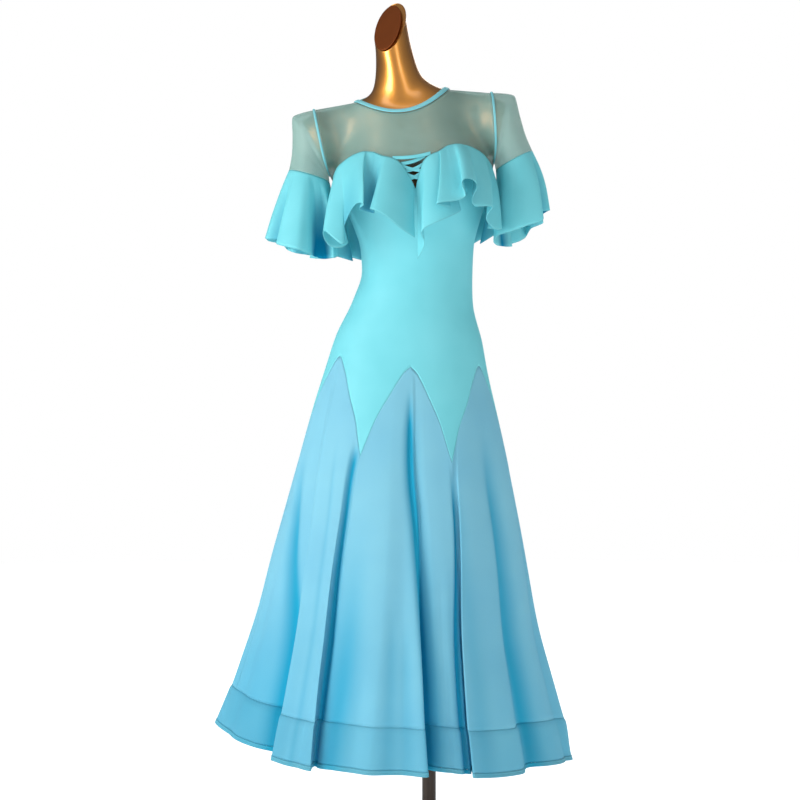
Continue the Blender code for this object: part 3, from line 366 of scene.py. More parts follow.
def dress(angle, height):
    """The dress below the bust: the body's ring, and under the gore seam folds that grow towards the hem.
    The stiffer hem band stands out a little more than the chiffon above it. Creases and valleys lie in
    between."""
    seam = column_height(angle, "seam")
    grown = np.clip((seam - height) / (seam - HEM_HEIGHT), 0, 1) ** FULLNESS_POWER
    swing = around(angle, FOLDS["cloth"], FOLDS["hangs"] - FOLDS["cloth"])
    reach = around(angle, FOLDS["cloth"], FOLDS["reach"]) - 1
    lift = around(angle, FOLDS["cloth"], FOLDS["lift"])
    for i, middle in enumerate(CREASES["angle"]):
        shape = bell(angle, middle, CREASES["half_width"][i])
        low, high = CREASES["low"][i], CREASES["high"][i]
        along = soft_step(height, low - 0.08, low) * (1 - soft_step(height, high - 0.22, high))
        reach = reach - CREASES["depth"][i] * shape * along
    valley = valleys(angle, height, "depth") * (1 - 0.4 * soft_step(-height, -0.40, -0.25))
    for i, middle in enumerate(BOWS["angle"]):
        swing = swing + BOWS["turn"][i] * bell(angle, middle, BOWS["half_width"][i]) * (1 - grown)
    band = soft_step(BAND_SEAM_HEIGHT - height, -0.001, 0.009)
    stands_out = BAND_STANDS_OUT * band * (1 - 6 * reach) * soft_step(height, 0.13, 0.25)
    placed = ring(angle + grown * swing, height, 1 + grown * reach - valley + stands_out)
    placed[..., 2] += grown ** 3 * lift
    return placed


def neckline(angle):
    """The neckline oval by angle from the front, lower in front than at the sides and behind."""
    angle = np.radians(angle)
    facing = np.cos(angle)
    depth = np.where(facing > 0, NECKLINE["front"], NECKLINE["back"])
    end_height = np.where(facing > 0, NECKLINE["front_height"], NECKLINE["back_height"])
    height = end_height * facing ** 2 + NECKLINE["side_height"] * np.sin(angle) ** 2
    height = height + NECKLINE["lean"] * np.sin(angle)
    return np.stack([NECKLINE["half_width"] * np.sin(angle), -depth * facing, height], axis=-1)


def sleeve(around_angle, share):
    """The sleeve's tube: ovals from the armhole (0) to the cuff (1), from outside (0) over the front (90).
    Across and height are the oval's middle plus half its size times the cosine of the angle round it, and
    depth is the front or back size times its sine."""
    angle = np.radians(around_angle)
    outer = np.stack([through(share, SLEEVE["share"], SLEEVE[name]) for name in ("across", "height")],
                     axis=-1)
    inner = np.array(ARMPIT) + (np.array(CUFF_INNER) - np.array(ARMPIT)) * np.asarray(share)[..., None]
    middle, half = (outer + inner) / 2, (outer - inner) / 2
    spot = middle + half * np.cos(angle)[..., None]
    front = through(share, SLEEVE["share"], SLEEVE["front"])
    back = through(share, SLEEVE["share"], SLEEVE["back"])
    depth = -np.where(np.sin(angle) > 0, front, back) * np.sin(angle)
    return np.stack([spot[..., 0], depth, spot[..., 1]], axis=-1)


def mirrored(points, side):
    """Points made for the wearer's left (side 1), or turned over for the right (-1)."""
    return points * np.array([side, 1, 1])


def taut(grid, rounds):
    """A net stretched in its frame: each inner point moves to the mean of its neighbours, many times."""
    grid = grid.copy()
    for _ in range(rounds):
        mean = (grid[:-2, 1:-1] + grid[2:, 1:-1] + grid[1:-1, :-2] + grid[1:-1, 2:]) / 4
        grid[1:-1, 1:-1] = mean
    return grid


def yoke_grid(facing, finer, rows):
    """The yoke between its neckline and its outer edge, drawn taut with a slight crown. The outer edge runs
    from the right shoulder down the armhole, along the bust and up to the left shoulder."""
    steps = ARMHOLE_STEPS * finer
    armhole = sleeve(np.linspace(180.0, 0.0, steps + 1) * facing, np.zeros(steps + 1))
    angle = half_ring(facing, finer)
    bust = ring(angle, column_height(angle, "top"))
    outline = np.concatenate([mirrored(armhole, -1)[::-1], bust, armhole])
    near_shoulder = np.linspace(90.0, 90.0 * (1 - NECK_SHARE), steps + 1)
    across_front = np.linspace(-near_shoulder[-1], near_shoulder[-1], len(outline) - 2 * steps)
    neck_angle = np.concatenate([-near_shoulder, across_front[1:-1], near_shoulder[::-1]])
    neck = neckline(neck_angle if facing > 0 else 180.0 - neck_angle)
    share = np.linspace(0, 1, rows + 1)[:, None, None]
    flat = taut(neck * (1 - share) + outline * share, 400 * finer)
    crown = YOKE_CROWN * np.sin(np.pi * share) * np.cos(np.radians(neck_angle))[None, :, None]
    return flat + crown * np.array([0.0, -facing, 0.35])


def neck_rings(angle, rise):
    """The form's neck from the neckline up to its slanted cut, low in front and on the wearer's right."""
    base = neckline(angle)
    turned = np.radians(angle)
    facing = (1 + np.cos(turned)) / 2
    cut = NECK_CUT["back_height"] + (NECK_CUT["front_height"] - NECK_CUT["back_height"]) * facing
    cut = cut + NECK_CUT["slope_across"] * NECK["half_width"][-1] * np.sin(turned)
    size = {name: through(rise, NECK["rise"], NECK[name])[:, None] for name in NECK if name != "rise"}
    depth = np.where(np.cos(turned) > 0, size["front"], size["back"])
    return np.stack([size["across"] + size["half_width"] * np.sin(turned),
                     size["depth"] - depth * np.cos(turned),
                     base[:, 2] * (1 - rise[:, None]) + cut * rise[:, None]], axis=-1)


def outward(grid, closed=False):
    """Unit directions square to a grid of points, on the side away from the body."""
    down = np.gradient(grid, axis=0)
    beside = np.roll(grid, -1, axis=1) - np.roll(grid, 1, axis=1) if closed else np.gradient(grid, axis=1)
    square = np.cross(down, beside)
    square /= np.linalg.norm(square, axis=-1, keepdims=True)
    return square * np.sign(np.sum(square * (grid - grid.reshape(-1, 3).mean(axis=0))))


# Materials

def linear(colour):
    """An sRGB hex colour as linear RGBA."""
    channels = [int(colour[i:i + 2], 16) / 255 for i in (0, 2, 4)]
    return (*[c / 12.92 if c <= 0.04045 else ((c + 0.055) / 1.055) ** 2.4 for c in channels], 1.0)


def add(tree, kind, settings=None, inputs=None):
    """Adds a shader node with its settings. An input is a value, or (node, output) to link from."""
    made = tree.nodes.new("ShaderNode" + kind)
    for key, value in (settings or {}).items():
        setattr(made, key, value)
    for key, value in (inputs or {}).items():
        if isinstance(value, tuple) and isinstance(value[0], bpy.types.Node):
            tree.links.new(value[0].outputs[value[1]], made.inputs[key])
        else:
            made.inputs[key].default_value = value
    return made


def bands_per_unit(spacing):
    """The Wave texture's scale for bands this far apart: it has 20 radians to a unit at scale 1."""
    return 2 * np.pi / 20.0 / spacing


def new_material(name):
    """An empty material, its tree and its output."""
    made = bpy.data.materials.new(name)
    made.use_nodes = True
    made.node_tree.nodes.clear()
    return made, made.node_tree, made.node_tree.nodes.new("ShaderNodeOutputMaterial")


# The thin line along a seam is darkest this far from the edge, and gone this far from it
SEAM_LINE = (0.0004, 0.0018)


def cloth_material(name, light, shade, spec):
    """Cloth: two near colours mottled over the piece, a thread pattern in its own metres, and light that
    comes through it. The seam attribute darkens and dents a thin line along each sewn or rolled edge, and
    the painted shade attribute paints shade into the valleys: a deeper colour, and no sheen or shine there."""
    made, tree, output = new_material(name)
    uv = add(tree, "UVMap", {"uv_map": "cloth"})
    place = add(tree, "TexCoord")
    mottle = add(tree, "TexNoise", inputs={"Vector": (place, "Object"), "Scale": spec["mottle"],
                "Detail": 2.0, "Roughness": 0.6})
    softened = add(tree, "MapRange", inputs={"Value": (mottle, "Fac"), "From Min": 0.3, "From Max": 0.7})
    tone = add(tree, "Mix", {"data_type": "RGBA"},
               {"Factor": (softened, "Result"), "A": linear(light), "B": linear(shade)})
    across = add(tree, "TexWave", {"bands_direction": "X"},
                 {"Vector": (uv, "UV"), "Scale": bands_per_unit(spec["across"]), "Distortion": 0.6,
                  "Detail Scale": 0.3})
    along = add(tree, "TexWave", {"bands_direction": "Y"},
                {"Vector": (uv, "UV"), "Scale": bands_per_unit(spec["along"]), "Distortion": 0.6,
                 "Detail Scale": 0.3})
    threads = add(tree, "Math", {"operation": "MULTIPLY"}, {0: (across, "Fac"), 1: (along, "Fac")})
    seam = add(tree, "Attribute", {"attribute_name": "seam"})
    line = add(tree, "MapRange", {"interpolation_type": "SMOOTHSTEP"},
               {"Value": (seam, "Fac"), "From Min": SEAM_LINE[0], "From Max": SEAM_LINE[1]})
    seam_tone = add(tree, "MapRange", inputs={"Value": (line, "Result"), "To Min": spec["seam_tone"],
                "To Max": 1.0})
    shade_seam = add(tree, "HueSaturation", inputs={"Color": (tone, "Result"),
                "Value": (seam_tone, "Result")})
    speck = add(tree, "MapRange", inputs={"Value": (threads, "Value"), "To Min": 1 - spec["contrast"],
                "To Max": 1 + spec["contrast"] / 3})
    # Painted shade: where this attribute is high the deep colour is mixed in
    fold = add(tree, "Attribute", {"attribute_name": "fold"})
    painted_shade_colour = add(tree, "Mix", {"data_type": "RGBA"},
                  {"Factor": (fold, "Fac"), "A": (shade_seam, "Color"), "B": linear(spec["deep"])})
    colour = add(tree, "HueSaturation", inputs={"Color": (painted_shade_colour, "Result"),
                "Value": (speck, "Result")})
    relief = add(tree, "Math", {"operation": "MULTIPLY"}, {0: (threads, "Value"), 1: (line, "Result")})
    bump = add(tree, "Bump", inputs={"Height": (relief, "Value"), "Strength": spec["bump"],
                "Distance": spec["across"] * 0.4})
    rough = add(tree, "MapRange", inputs={"Value": (mottle, "Fac"), "To Min": spec["rough"] - 0.06,
                "To Max": spec["rough"] + 0.06})
    # Painted shade as well: sheen and shine fall to nothing where the attribute is high
    sheen = add(tree, "MapRange", inputs={"Value": (fold, "Fac"), "To Min": spec["sheen"], "To Max": 0.0})
    gloss = add(tree, "MapRange", inputs={"Value": (fold, "Fac"), "To Min": spec["gloss"], "To Max": 0.0})
    surface = add(tree, "BsdfPrincipled", inputs={
        "Base Color": (colour, "Color"), "Roughness": (rough, "Result"), "Normal": (bump, "Normal"),
        "Sheen Weight": (sheen, "Result"), "Sheen Roughness": 0.45, "Sheen Tint": linear(light), "IOR": 1.45,
        "Specular IOR Level": (gloss, "Result")})
    glow = add(tree, "BsdfTranslucent", inputs={"Color": (colour, "Color"), "Normal": (bump, "Normal")})
    lit = add(tree, "MixShader", inputs={"Fac": spec["glow"], 1: (surface, "BSDF"), 2: (glow, "BSDF")})
    if spec["open"]:
        hole = add(tree, "BsdfTransparent")
        net = add(tree, "MapRange", inputs={
            "Value": (threads, "Value"), "To Min": spec["open"] + spec["net"],
            "To Max": spec["open"] - spec["net"]})
        closed = add(tree, "Math", {"operation": "MULTIPLY"}, {0: (net, "Result"), 1: (line, "Result")})
        lit = add(tree, "MixShader", inputs={"Fac": (closed, "Value"), 1: (lit, "Shader"),
                2: (hole, "BSDF")})
    tree.links.new(lit.outputs["Shader"], output.inputs["Surface"])
    return made


# Warp knit, as such dresses usually have in polyamide and elastane, brushed to a satin face: fine wales, a
# soft sheen, hardly see-through. Its wales are 0.4 mm apart, drawn 1.6 mm apart so that they show.
# Its deep colour is painted shade in the flounces' valleys.
SATIN_KNIT = {"mottle": 9.0, "across": 0.0016, "along": 0.0030, "contrast": 0.05, "bump": 0.12,
              "rough": 0.52, "sheen": 0.25, "gloss": 0.35, "glow": 0.12, "open": 0.0, "net": 0.0,
              "seam_tone": 0.85, "deep": "0C84AC"}
# Chiffon, plain woven from twisted yarn: matt, a faint crepe, and it glows where light is behind it. Its
# yarns are 0.3 mm apart, drawn 1.4 mm apart.
# Its deep colour is painted shade in the skirt's valleys.
CHIFFON = {"mottle": 7.0, "across": 0.0014, "along": 0.0014, "contrast": 0.05, "bump": 0.10, "rough": 0.62,
           "sheen": 0.15, "gloss": 0.25, "glow": 0.30, "open": 0.0, "net": 0.0, "seam_tone": 0.98,
           "deep": "2EB4D8"}
# The same chiffon in a single stiffened layer at the hem, where the floor shows faintly through
# Its deep colour is painted shade in the band's valleys.
HEM_CHIFFON = {**CHIFFON, "open": 0.05, "net": 0.03, "glow": 0.34, "seam_tone": 0.99, "deep": "2EAACC"}
# Horsehair braid under the rolled hem: a stiff plait, drawn as ribs 4 mm apart along and across it
BRAID = {**CHIFFON, "across": 0.0042, "along": 0.0042, "contrast": 0.25, "bump": 0.6, "glow": 0.15}
# Power net: a knitted mesh with 0.8 mm holes, drawn 1.5 mm apart, through which the gold shows
# Its deep colour, near black, is painted shadow under the lacing straps.
POWER_NET = {"mottle": 12.0, "across": 0.0015, "along": 0.0015, "contrast": 0.10, "bump": 0.10,
             "rough": 0.45, "sheen": 0.30, "gloss": 0.40, "glow": 0.15, "open": 0.46, "net": 0.12,
             "seam_tone": 0.9, "deep": "16262A"}

satin_knit = cloth_material("turquoise_satin_knit", "81DFE9", "77D7E1", SATIN_KNIT)
tape_knit = cloth_material("folded_tape_knit", "8EDCE4", "82D0DA", SATIN_KNIT)
chiffon = cloth_material("crepe_chiffon", "98DEF0", "8ED6EC", CHIFFON)
hem_chiffon = cloth_material("stiffened_hem_chiffon", "90DCEE", "84D2E8", HEM_CHIFFON)
braid = cloth_material("horsehair_braid", "88D6EA", "7CCADE", BRAID)
power_net = cloth_material("sheer_power_net", "A8D0C8", "9CC6BE", POWER_NET)


def metal_material(name, light, dark, roughness, metallic, grain, coat=0.0):
    """Metal: its colour in slow patches, and fine marks in its roughness and surface."""
    made, tree, output = new_material(name)
    place = add(tree, "TexCoord")
    patches = add(tree, "TexNoise", inputs={"Vector": (place, "Object"), "Scale": 14.0, "Detail": 3.0})
    marks = add(tree, "TexNoise", inputs={"Vector": (place, "Object"), "Scale": 1.0 / grain,
                "Detail": 2.0})
    tone = add(tree, "Mix", {"data_type": "RGBA"},
               {"Factor": (patches, "Fac"), "A": linear(light), "B": linear(dark)})
    rough = add(tree, "MapRange", inputs={"Value": (marks, "Fac"), "To Min": roughness - 0.05,
                "To Max": roughness + 0.05})
    bump = add(tree, "Bump", inputs={"Height": (marks, "Fac"), "Strength": 0.015, "Distance": grain / 4})
    surface = add(tree, "BsdfPrincipled", inputs={
        "Base Color": (tone, "Result"), "Roughness": (rough, "Result"), "Metallic": metallic,
        "Normal": (bump, "Normal"), "Coat Weight": coat, "Coat Roughness": 0.12})
    tree.links.new(surface.outputs["BSDF"], output.inputs["Surface"])
    return made


# Gold electroplate over fibreglass: long soft reflections, a faint orange-peel ripple 3 mm across
gold_plate = metal_material("gold_plated_fibreglass", "DE9C48", "D28C38", 0.36, 1.0, 0.003, coat=1.0)
# The flat gold face in the neck's cut, drawn as its own plate: a painted dark reflection, dark brown and much
# less shiny than the gold
cut_face_dark_reflection = metal_material("cut_face_painted_dark_reflection", "84420E", "72360A", 0.50, 0.7, 0.001)
# Powder-coated steel: nearly black brown, with a half-millimetre grain
coated_steel = metal_material("powder_coated_steel", "463A32", "3A302A", 0.42, 0.6, 0.0005)


def grid_faces(rows, columns, closed):
    """Quads of a grid of points, round to the first column again where it is closed. They face outward where
    rows run down and columns run towards the wearer's left."""
    last = columns if closed else columns - 1
    row, column = np.meshgrid(np.arange(rows - 1), np.arange(last), indexing="ij")
    here, beside = row * columns + column, row * columns + (column + 1) % columns
    return np.stack([here, here + columns, beside + columns, beside], axis=-1).reshape(-1, 4)


def arc_lengths(points, axis):
    """Distance along a grid from its first row or column."""
    steps = np.linalg.norm(np.diff(points, axis=axis), axis=-1)
    start = np.zeros_like(np.take(steps, [0], axis=axis))
    return np.concatenate([start, np.cumsum(steps, axis=axis)], axis=axis)


def corner_order(rows, width):
    """Which point each face corner lies on, face by face, in a grid of rows by width points."""
    row, column = np.meshgrid(np.arange(rows - 1), np.arange(width - 1), indexing="ij")
    here = row * width + column
    return np.stack([here, here + width, here + width + 1, here + 1], axis=-1).reshape(-1)


def turn_faces_out(mesh):
    """Makes a closed mesh's faces point outward."""
    built = bmesh.new()
    built.from_mesh(mesh)
    bmesh.ops.recalc_face_normals(built, faces=built.faces[:])
    built.to_mesh(mesh)
    built.free()


def finish_piece(name, mesh, material, nodes):
    """Puts a mesh in the scene as a piece of the part that stands for its CAD nodes."""
    made = bpy.data.objects.new(name, mesh)
    bpy.context.scene.collection.objects.link(made)
    mesh.materials.append(material)
    mesh.shade_smooth()
    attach(made, "root")
    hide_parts(*nodes)
    return made


def cloth(name, points, material, node, thickness=CLOTH, closed=False,
          seams="top bottom", fold=None):
    """A sheet of cloth from a grid of straight-body points, swayed and given a thin wall. Its UV map is in
    metres of cloth, its seam attribute is the distance to the nearest named edge, and its painted shade
    attribute is how far into a valley each point lies."""
    points = sway(points)
    rows, columns = points.shape[:2]
    faces = grid_faces(rows, columns, closed)
    mesh = bpy.data.meshes.new(name)
    mesh.from_pydata(points.reshape(-1, 3), [], faces.tolist())
    wrapped = np.concatenate([points, points[:, :1]], axis=1) if closed else points
    across, down = arc_lengths(wrapped, 1), arc_lengths(wrapped, 0)
    width = wrapped.shape[1]
    corners = corner_order(rows, width)
    uv = np.stack([across.reshape(-1)[corners], -down.reshape(-1)[corners]], axis=-1)
    mesh.uv_layers.new(name="cloth").data.foreach_set("uv", uv.reshape(-1).astype(np.float32))
    away = np.full((rows, width), 1.0)
    if "top" in seams:
        away = np.minimum(away, down)
    if "bottom" in seams:
        away = np.minimum(away, down[-1:] - down)
    if "sides" in seams:
        away = np.minimum(away, np.minimum(across, across[:, -1:] - across))
    away = away[:, :columns]
    seam = mesh.attributes.new("seam", "FLOAT", "POINT")
    seam.data.foreach_set("value", away.reshape(-1).astype(np.float32))
    if fold is not None:
        valley = mesh.attributes.new("fold", "FLOAT", "POINT")
        valley.data.foreach_set("value", np.clip(fold, 0, 1).reshape(-1).astype(np.float32))
    made = finish_piece(name, mesh, material, [node])
    wall = made.modifiers.new("wall", "SOLIDIFY")
    wall.thickness = thickness
    wall.offset = 0.0
    return made


def between(top, bottom, shares):
    """Rows of points from the top line to the bottom line."""
    shares = np.asarray(shares)[:, None, None]
    return top * (1 - shares) + bottom * shares


def make_bodice():
    """Front and back of the knit bodice, from its top edge to the zigzag gore seam."""
    rows = np.linspace(0, 1, 61)[:, None]
    for where, facing in (("front", 1), ("back", -1)):
        angle = half_ring(facing, 8)
        top, bottom = column_height(angle, "top") - SEAM_GAP, column_height(angle, "seam") + SEAM_GAP
        points = dress(angle + 0 * rows, top * (1 - rows) + bottom * rows)
        cloth(f"bodice_{where}_knit", points, satin_knit, f"bodice_{where}",
              seams="top bottom sides")


def make_yoke():
    """Sheer yoke, front and back."""
    for where, facing in (("front", 1), ("back", -1)):
        points = yoke_grid(facing, 4, 24)
        # Painted shadow: in front, below the lacing and between the straps, the net turns near black.
        below_lacing = 1 - soft_step(points[..., 2], 1.255, 1.268)
        painted_shadow_behind_straps = below_lacing * (1 - soft_step(np.abs(points[..., 0]), 0.03, 0.04))
        cloth(f"yoke_{where}_net", points, power_net, f"yoke_{where}", MESH_CLOTH,
              seams="bottom sides",
              fold=painted_shadow_behind_straps * (facing > 0))


def make_neck_binding():
    """A folded strip that carries the yoke on past its neckline, up the foot of the form's neck: an oval
    section 10 mm wide and 2.4 mm thick, carried round the neckline."""
    angle = np.arange(0.0, 360.0, 3.0)
    foot, above = neck_rings(angle, np.array([0.0, 0.10]))
    upward = (above - foot) / np.linalg.norm(above - foot, axis=-1, keepdims=True)
    strip = np.stack([foot, foot + 0.0084 * upward])
    lift = outward(strip, closed=True)[0]
    turn = np.linspace(0.0, 2 * np.pi, 16, endpoint=False)[:, None, None]
    section = (foot + 0.0054 * upward) + 0.0012 * lift
    tube = section + 0.0050 * np.cos(turn) * upward + 0.0013 * np.sin(turn) * lift
    return strap_piece("neck_binding_strip", sway(tube), tape_knit, "neck_binding", True)


def strap_piece(name, tube, material, node, ring_closed):
    """A folded strip as a closed tube: rows go round its section, columns along its length."""
    rows, columns = tube.shape[:2]
    wrapped = np.concatenate([tube, tube[:1]], axis=0)
    faces = grid_faces(rows + 1, columns, ring_closed) % (rows * columns)
    mesh = bpy.data.meshes.new(name)
    ends = [] if ring_closed else [list(range(0, rows * columns, columns))[::-1],
                list(range(columns - 1, rows * columns, columns))]
    mesh.from_pydata(tube.reshape(-1, 3), [], faces.tolist() + ends)
    around_all = np.concatenate([wrapped, wrapped[:, :1]], axis=1) if ring_closed else wrapped
    across, down = arc_lengths(around_all, 1), arc_lengths(around_all, 0)
    corners = corner_order(rows + 1, around_all.shape[1])
    uv = np.zeros((len(mesh.loops), 2), np.float32)
    uv[:len(corners)] = np.stack([across.reshape(-1)[corners], down.reshape(-1)[corners]], axis=-1)
    mesh.uv_layers.new(name="cloth").data.foreach_set("uv", uv.reshape(-1))
    seam = mesh.attributes.new("seam", "FLOAT", "POINT")
    seam.data.foreach_set("value", np.full(rows * columns, 1.0, np.float32))
    turn_faces_out(mesh)
    made = finish_piece(name, mesh, material, [node])
    return made


def make_sleeves():
    """Sheer sleeves from the armhole to the cuff, and the tape that covers each armhole seam."""
    angle = np.linspace(0.0, 360.0, 96, endpoint=False)
    shares = np.linspace(0.0, 0.998, 41)[:, None] + 0 * angle
    length = np.linalg.norm(sleeve(angle, 0 * angle + 0.22) - sleeve(angle, 0 * angle), axis=-1) / 0.22
    shares[0] = 0.0006 / length
    for side, where in ((1, "left"), (-1, "right")):
        tube = mirrored(sleeve(angle + 0 * shares, shares), side)
        tube = tube if side > 0 else tube[:, ::-1]
        cloth(f"sleeve_{where}_net", tube[:, ::-1], power_net, f"sleeve_{where}", MESH_CLOTH,
              closed=True, seams="bottom")
        tape = np.stack([0.0012 / length, 0.0048 / length])
        strip = sleeve(angle + 0 * tape, tape)
        lift = outward(strip, closed=True)
        middle, half = strip.mean(axis=0), (strip[1] - strip[0]) / 2
        turn = np.linspace(0.0, 2 * np.pi, 12, endpoint=False)[:, None, None]
        tube = middle + 0.0014 * lift[0] + np.cos(turn) * half * 1.3 + 0.0011 * np.sin(turn) * lift[0]
        strap_piece(f"armhole_{where}_tape", sway(mirrored(tube, side)), tape_knit,
                    f"armhole_tape_{where}", True)


def flounce(top, hem, rows, belly=0.0, centre=0.0):
    """Cloth that hangs from its seam to a wavy hem: it leaves the seam outward, a little full under it. Out
    is measured from the centre line given."""
    shares = np.linspace(0, 1, rows + 1)
    grid = between(top, hem, shares)
    arch = np.sin(np.pi * shares)[:, None]
    direction = grid[..., :2] - centre
    direction /= np.linalg.norm(direction, axis=-1, keepdims=True)
    grid[..., :2] += FLOUNCE_FULLNESS * arch[..., None] * direction
    grid[..., 2] += belly * arch
    return grid


def hollows(grid, centre, reach, depth):
    """How deep each point lies below the ridges on both sides of it, in shares of the depth given: its
    distance from the centre line against the farthest within reach columns to its left and to its right."""
    far = np.linalg.norm(grid[..., :2] - centre, axis=-1)
    left, right = far.copy(), far.copy()
    for step in range(1, reach + 1):
        left[:, step:] = np.maximum(left[:, step:], far[:, :-step])
        right[:, :-step] = np.maximum(right[:, :-step], far[:, step:])
    return np.clip((np.minimum(left, right) - far) / depth, 0, 1)


def make_sleeve_flounces():
    """A circular flounce at each cuff."""
    angle = np.arange(0.0, 360.0, 1.5)
    for where, side, hem_rows in (("left", 1, LEFT_SLEEVE_HEM), ("right", -1, RIGHT_SLEEVE_HEM)):
        top = sleeve(angle, np.ones(len(angle)))
        top[:, 2] -= SEAM_GAP
        hem = np.stack([around(angle, hem_rows["around"], hem_rows[axis])
                        for axis in ("across", "depth", "height")], axis=-1)
        points = flounce(top, hem, 28, 0.006, top.mean(axis=0)[:2])
        # Painted shade in the flounce's valleys: how far each point lies below the ridges beside it.
        valley = hollows(np.tile(points, (1, 3, 1)), points[0].mean(axis=0)[:2], 24, 0.026)
        valley = valley[:, len(angle):2 * len(angle)]
        points = mirrored(points, side)
        points, valley = (points, valley) if side < 0 else (points[:, ::-1], valley[:, ::-1])
        cloth(f"sleeve_{where}_flounce", points, satin_knit, f"sleeve_flounce_{where}",
              closed=True, fold=valley)


def bust_seam(share, side, out):
    """The line that a bust flounce hangs from: along the bodice's top edge, then down its side of the notch,
    where it lies out over the straps. Its pleats lie out from it."""
    angle = side * BUST_SEAM_START * (1 - share)
    on_edge = ring(angle, column_height(angle, "top"))
    over_straps = np.clip((STRAP_ANGLES[1] - np.abs(angle)) / (STRAP_ANGLES[1] - STRAP_ANGLES[0]), 0, 1)
    direction = on_edge * np.array([1.0, 1.0, 0.0])
    direction /= np.linalg.norm(direction, axis=-1, keepdims=True)
    return on_edge + direction * (SEAM_LIFT + STRAP_ROOM * over_straps + out)[..., None]


def make_bust_flounces():
    """The two front flounces, which cascade at the sides and meet in a point below the notch."""
    for where, side, hem_rows in (("left", 1, LEFT_BUST_HEM), ("right", -1, RIGHT_BUST_HEM)):
        knots = np.arange(len(hem_rows["seam"]))
        turns = np.linspace(0, knots[-1], 12 * knots[-1] + 1)
        hem = np.stack([rounded(turns, hem_rows[axis]) for axis in ("across", "depth", "height")], axis=-1)
        share, out = rounded(turns, hem_rows["seam"]), rounded(turns, hem_rows["out"])
        seam = bust_seam(np.clip(share, 0.0, BUST_SEAM_END), side, out)
        points = flounce(seam, hem, 32, 0.004)
        # Painted shade in the flounce's valleys: how far each point lies below the ridges beside it.
        valley = 0.85 * hollows(points, 0.0, 60, 0.042)
        points, valley = (points, valley) if side < 0 else (points[:, ::-1], valley[:, ::-1])
        cloth(f"bust_{where}_flounce", points, satin_knit, f"bust_flounce_{where}",
              seams="top bottom sides", fold=valley)


def make_back_flounce():
    """The back flounce: even waves from side seam to side seam."""
    angle = np.linspace(97.0, 263.0, 361)
    seam = ring(angle, column_height(angle, "top"))
    outward_flat = seam * np.array([1.0, 1.0, 0.0])
    seam += outward_flat / np.linalg.norm(outward_flat, axis=-1, keepdims=True) * SEAM_LIFT
    phase = 2 * np.pi * BACK_HEM["waves"] * (angle - angle[0]) / (angle[-1] - angle[0])
    wave = BACK_HEM["wave"] * np.cos(phase)
    turned = np.radians(180.0 + (angle - 180.0) * (90.0 - BACK_HEM["from_side"]) / (180.0 - angle[0]))
    hem = np.stack([(BACK_HEM["half_width"] + wave) * np.sin(turned),
                    -(BACK_HEM["depth"] + wave) * np.cos(turned),
                    BACK_HEM["height"] + BACK_HEM["rise"] * np.cos(phase)], axis=-1)
    hem[:, 2] += BACK_HEM["slope"] * hem[:, 0]
    points = flounce(seam, hem, 28, 0.004)
    # Painted shade in the flounce's valleys, from how far each point lies below the ridges beside it.
    cloth("back_neck_flounce", points, satin_knit, "back_flounce",
          fold=hollows(points, 0.0, 40, 0.035))


def make_laces():
    """Straps folded from the knit, each a flat oval 6.4 mm wide, that cross over the notch in layers."""
    share = np.linspace(0, 1, 41)
    turn = np.linspace(0.0, 2 * np.pi, 12, endpoint=False)[:, None]
    for i, layer in enumerate(LACES["layer"]):
        across = LACES["from_across"][i] + (LACES["to_across"][i] - LACES["from_across"][i]) * share
        height = LACES["from_height"][i] + (LACES["to_height"][i] - LACES["from_height"][i]) * share
        height = height - LACE_SAG * np.sin(np.pi * share)
        level = height + 0.5 * LACE_WIDTH * np.cos(turn)
        half_width = through(level, RINGS["height"], RINGS["half_width"])
        spot = ring(np.degrees(np.arcsin(across / half_width)), level)
        spot[..., 1] -= LACE_FIRST_LAYER + layer * LACE_LAYER + 0.5 * LACE_THICKNESS * np.sin(turn)
        strap_piece(f"lace_strap_{i + 1}", sway(spot), satin_knit, f"lace_{i + 1}", False)


def make_skirt():
    """Six gores that open into folds below the zigzag seam, the deep band at the hem and its braid."""
    knots = np.append(FOLDS["cloth"], FOLDS["cloth"][0] + 360.0)
    steps = np.arange(len(knots))
    fine = np.interp(np.linspace(0, len(knots) - 1, 16 * (len(knots) - 1) + 1), steps, knots)[:-1]
    rows = np.linspace(0, 1, 81)[:, None]
    for i, start in enumerate(TAILS):
        end = TAILS[i + 1] if i < 5 else TAILS[0] + 360.0
        inside = np.sort(np.concatenate([fine, fine + 360.0]))
        inside = inside[(inside > start + 0.1) & (inside < end - 0.1)]
        angle = np.concatenate([[start + 0.03], inside, [end - 0.03]])
        top = column_height(angle, "seam") - SEAM_GAP
        height = top * (1 - rows) + (BAND_SEAM_HEIGHT + SEAM_GAP / 2) * rows
        # Painted shade: the tone column deepens the colour in each valley; its first row deepens it all round,
        # more towards the hem.
        cloth(f"skirt_gore_{i + 1}_chiffon", dress(angle + 0 * height, height), chiffon,
              f"skirt_gore_{i + 1}",
              fold=valleys(angle + 0 * height, height, "tone"))
    braid_top = HEM_HEIGHT + BRAID_WIDTH
    rows = np.linspace(0, 1, 5)[:, None]
    height = (braid_top - SEAM_GAP / 2) * (1 - rows) + HEM_HEIGHT * rows + 0 * fine
    # The braid and the band take the same painted shade.
    edge = cloth("hem_braid_edge", dress(fine + 0 * height, height), braid, "hem_braid",
                 BRAID_THICKNESS, closed=True, seams="",
                 fold=valleys(fine + 0 * height, height, "tone"))
    rows = np.linspace(0, 1, 21)[:, None]
    height = (BAND_SEAM_HEIGHT - SEAM_GAP / 2) * (1 - rows) + braid_top * rows + 0 * fine
    cloth("hem_band_chiffon", dress(fine + 0 * height, height), hem_chiffon, "hem_band",
          closed=True,
          fold=valleys(fine + 0 * height, height, "tone"))


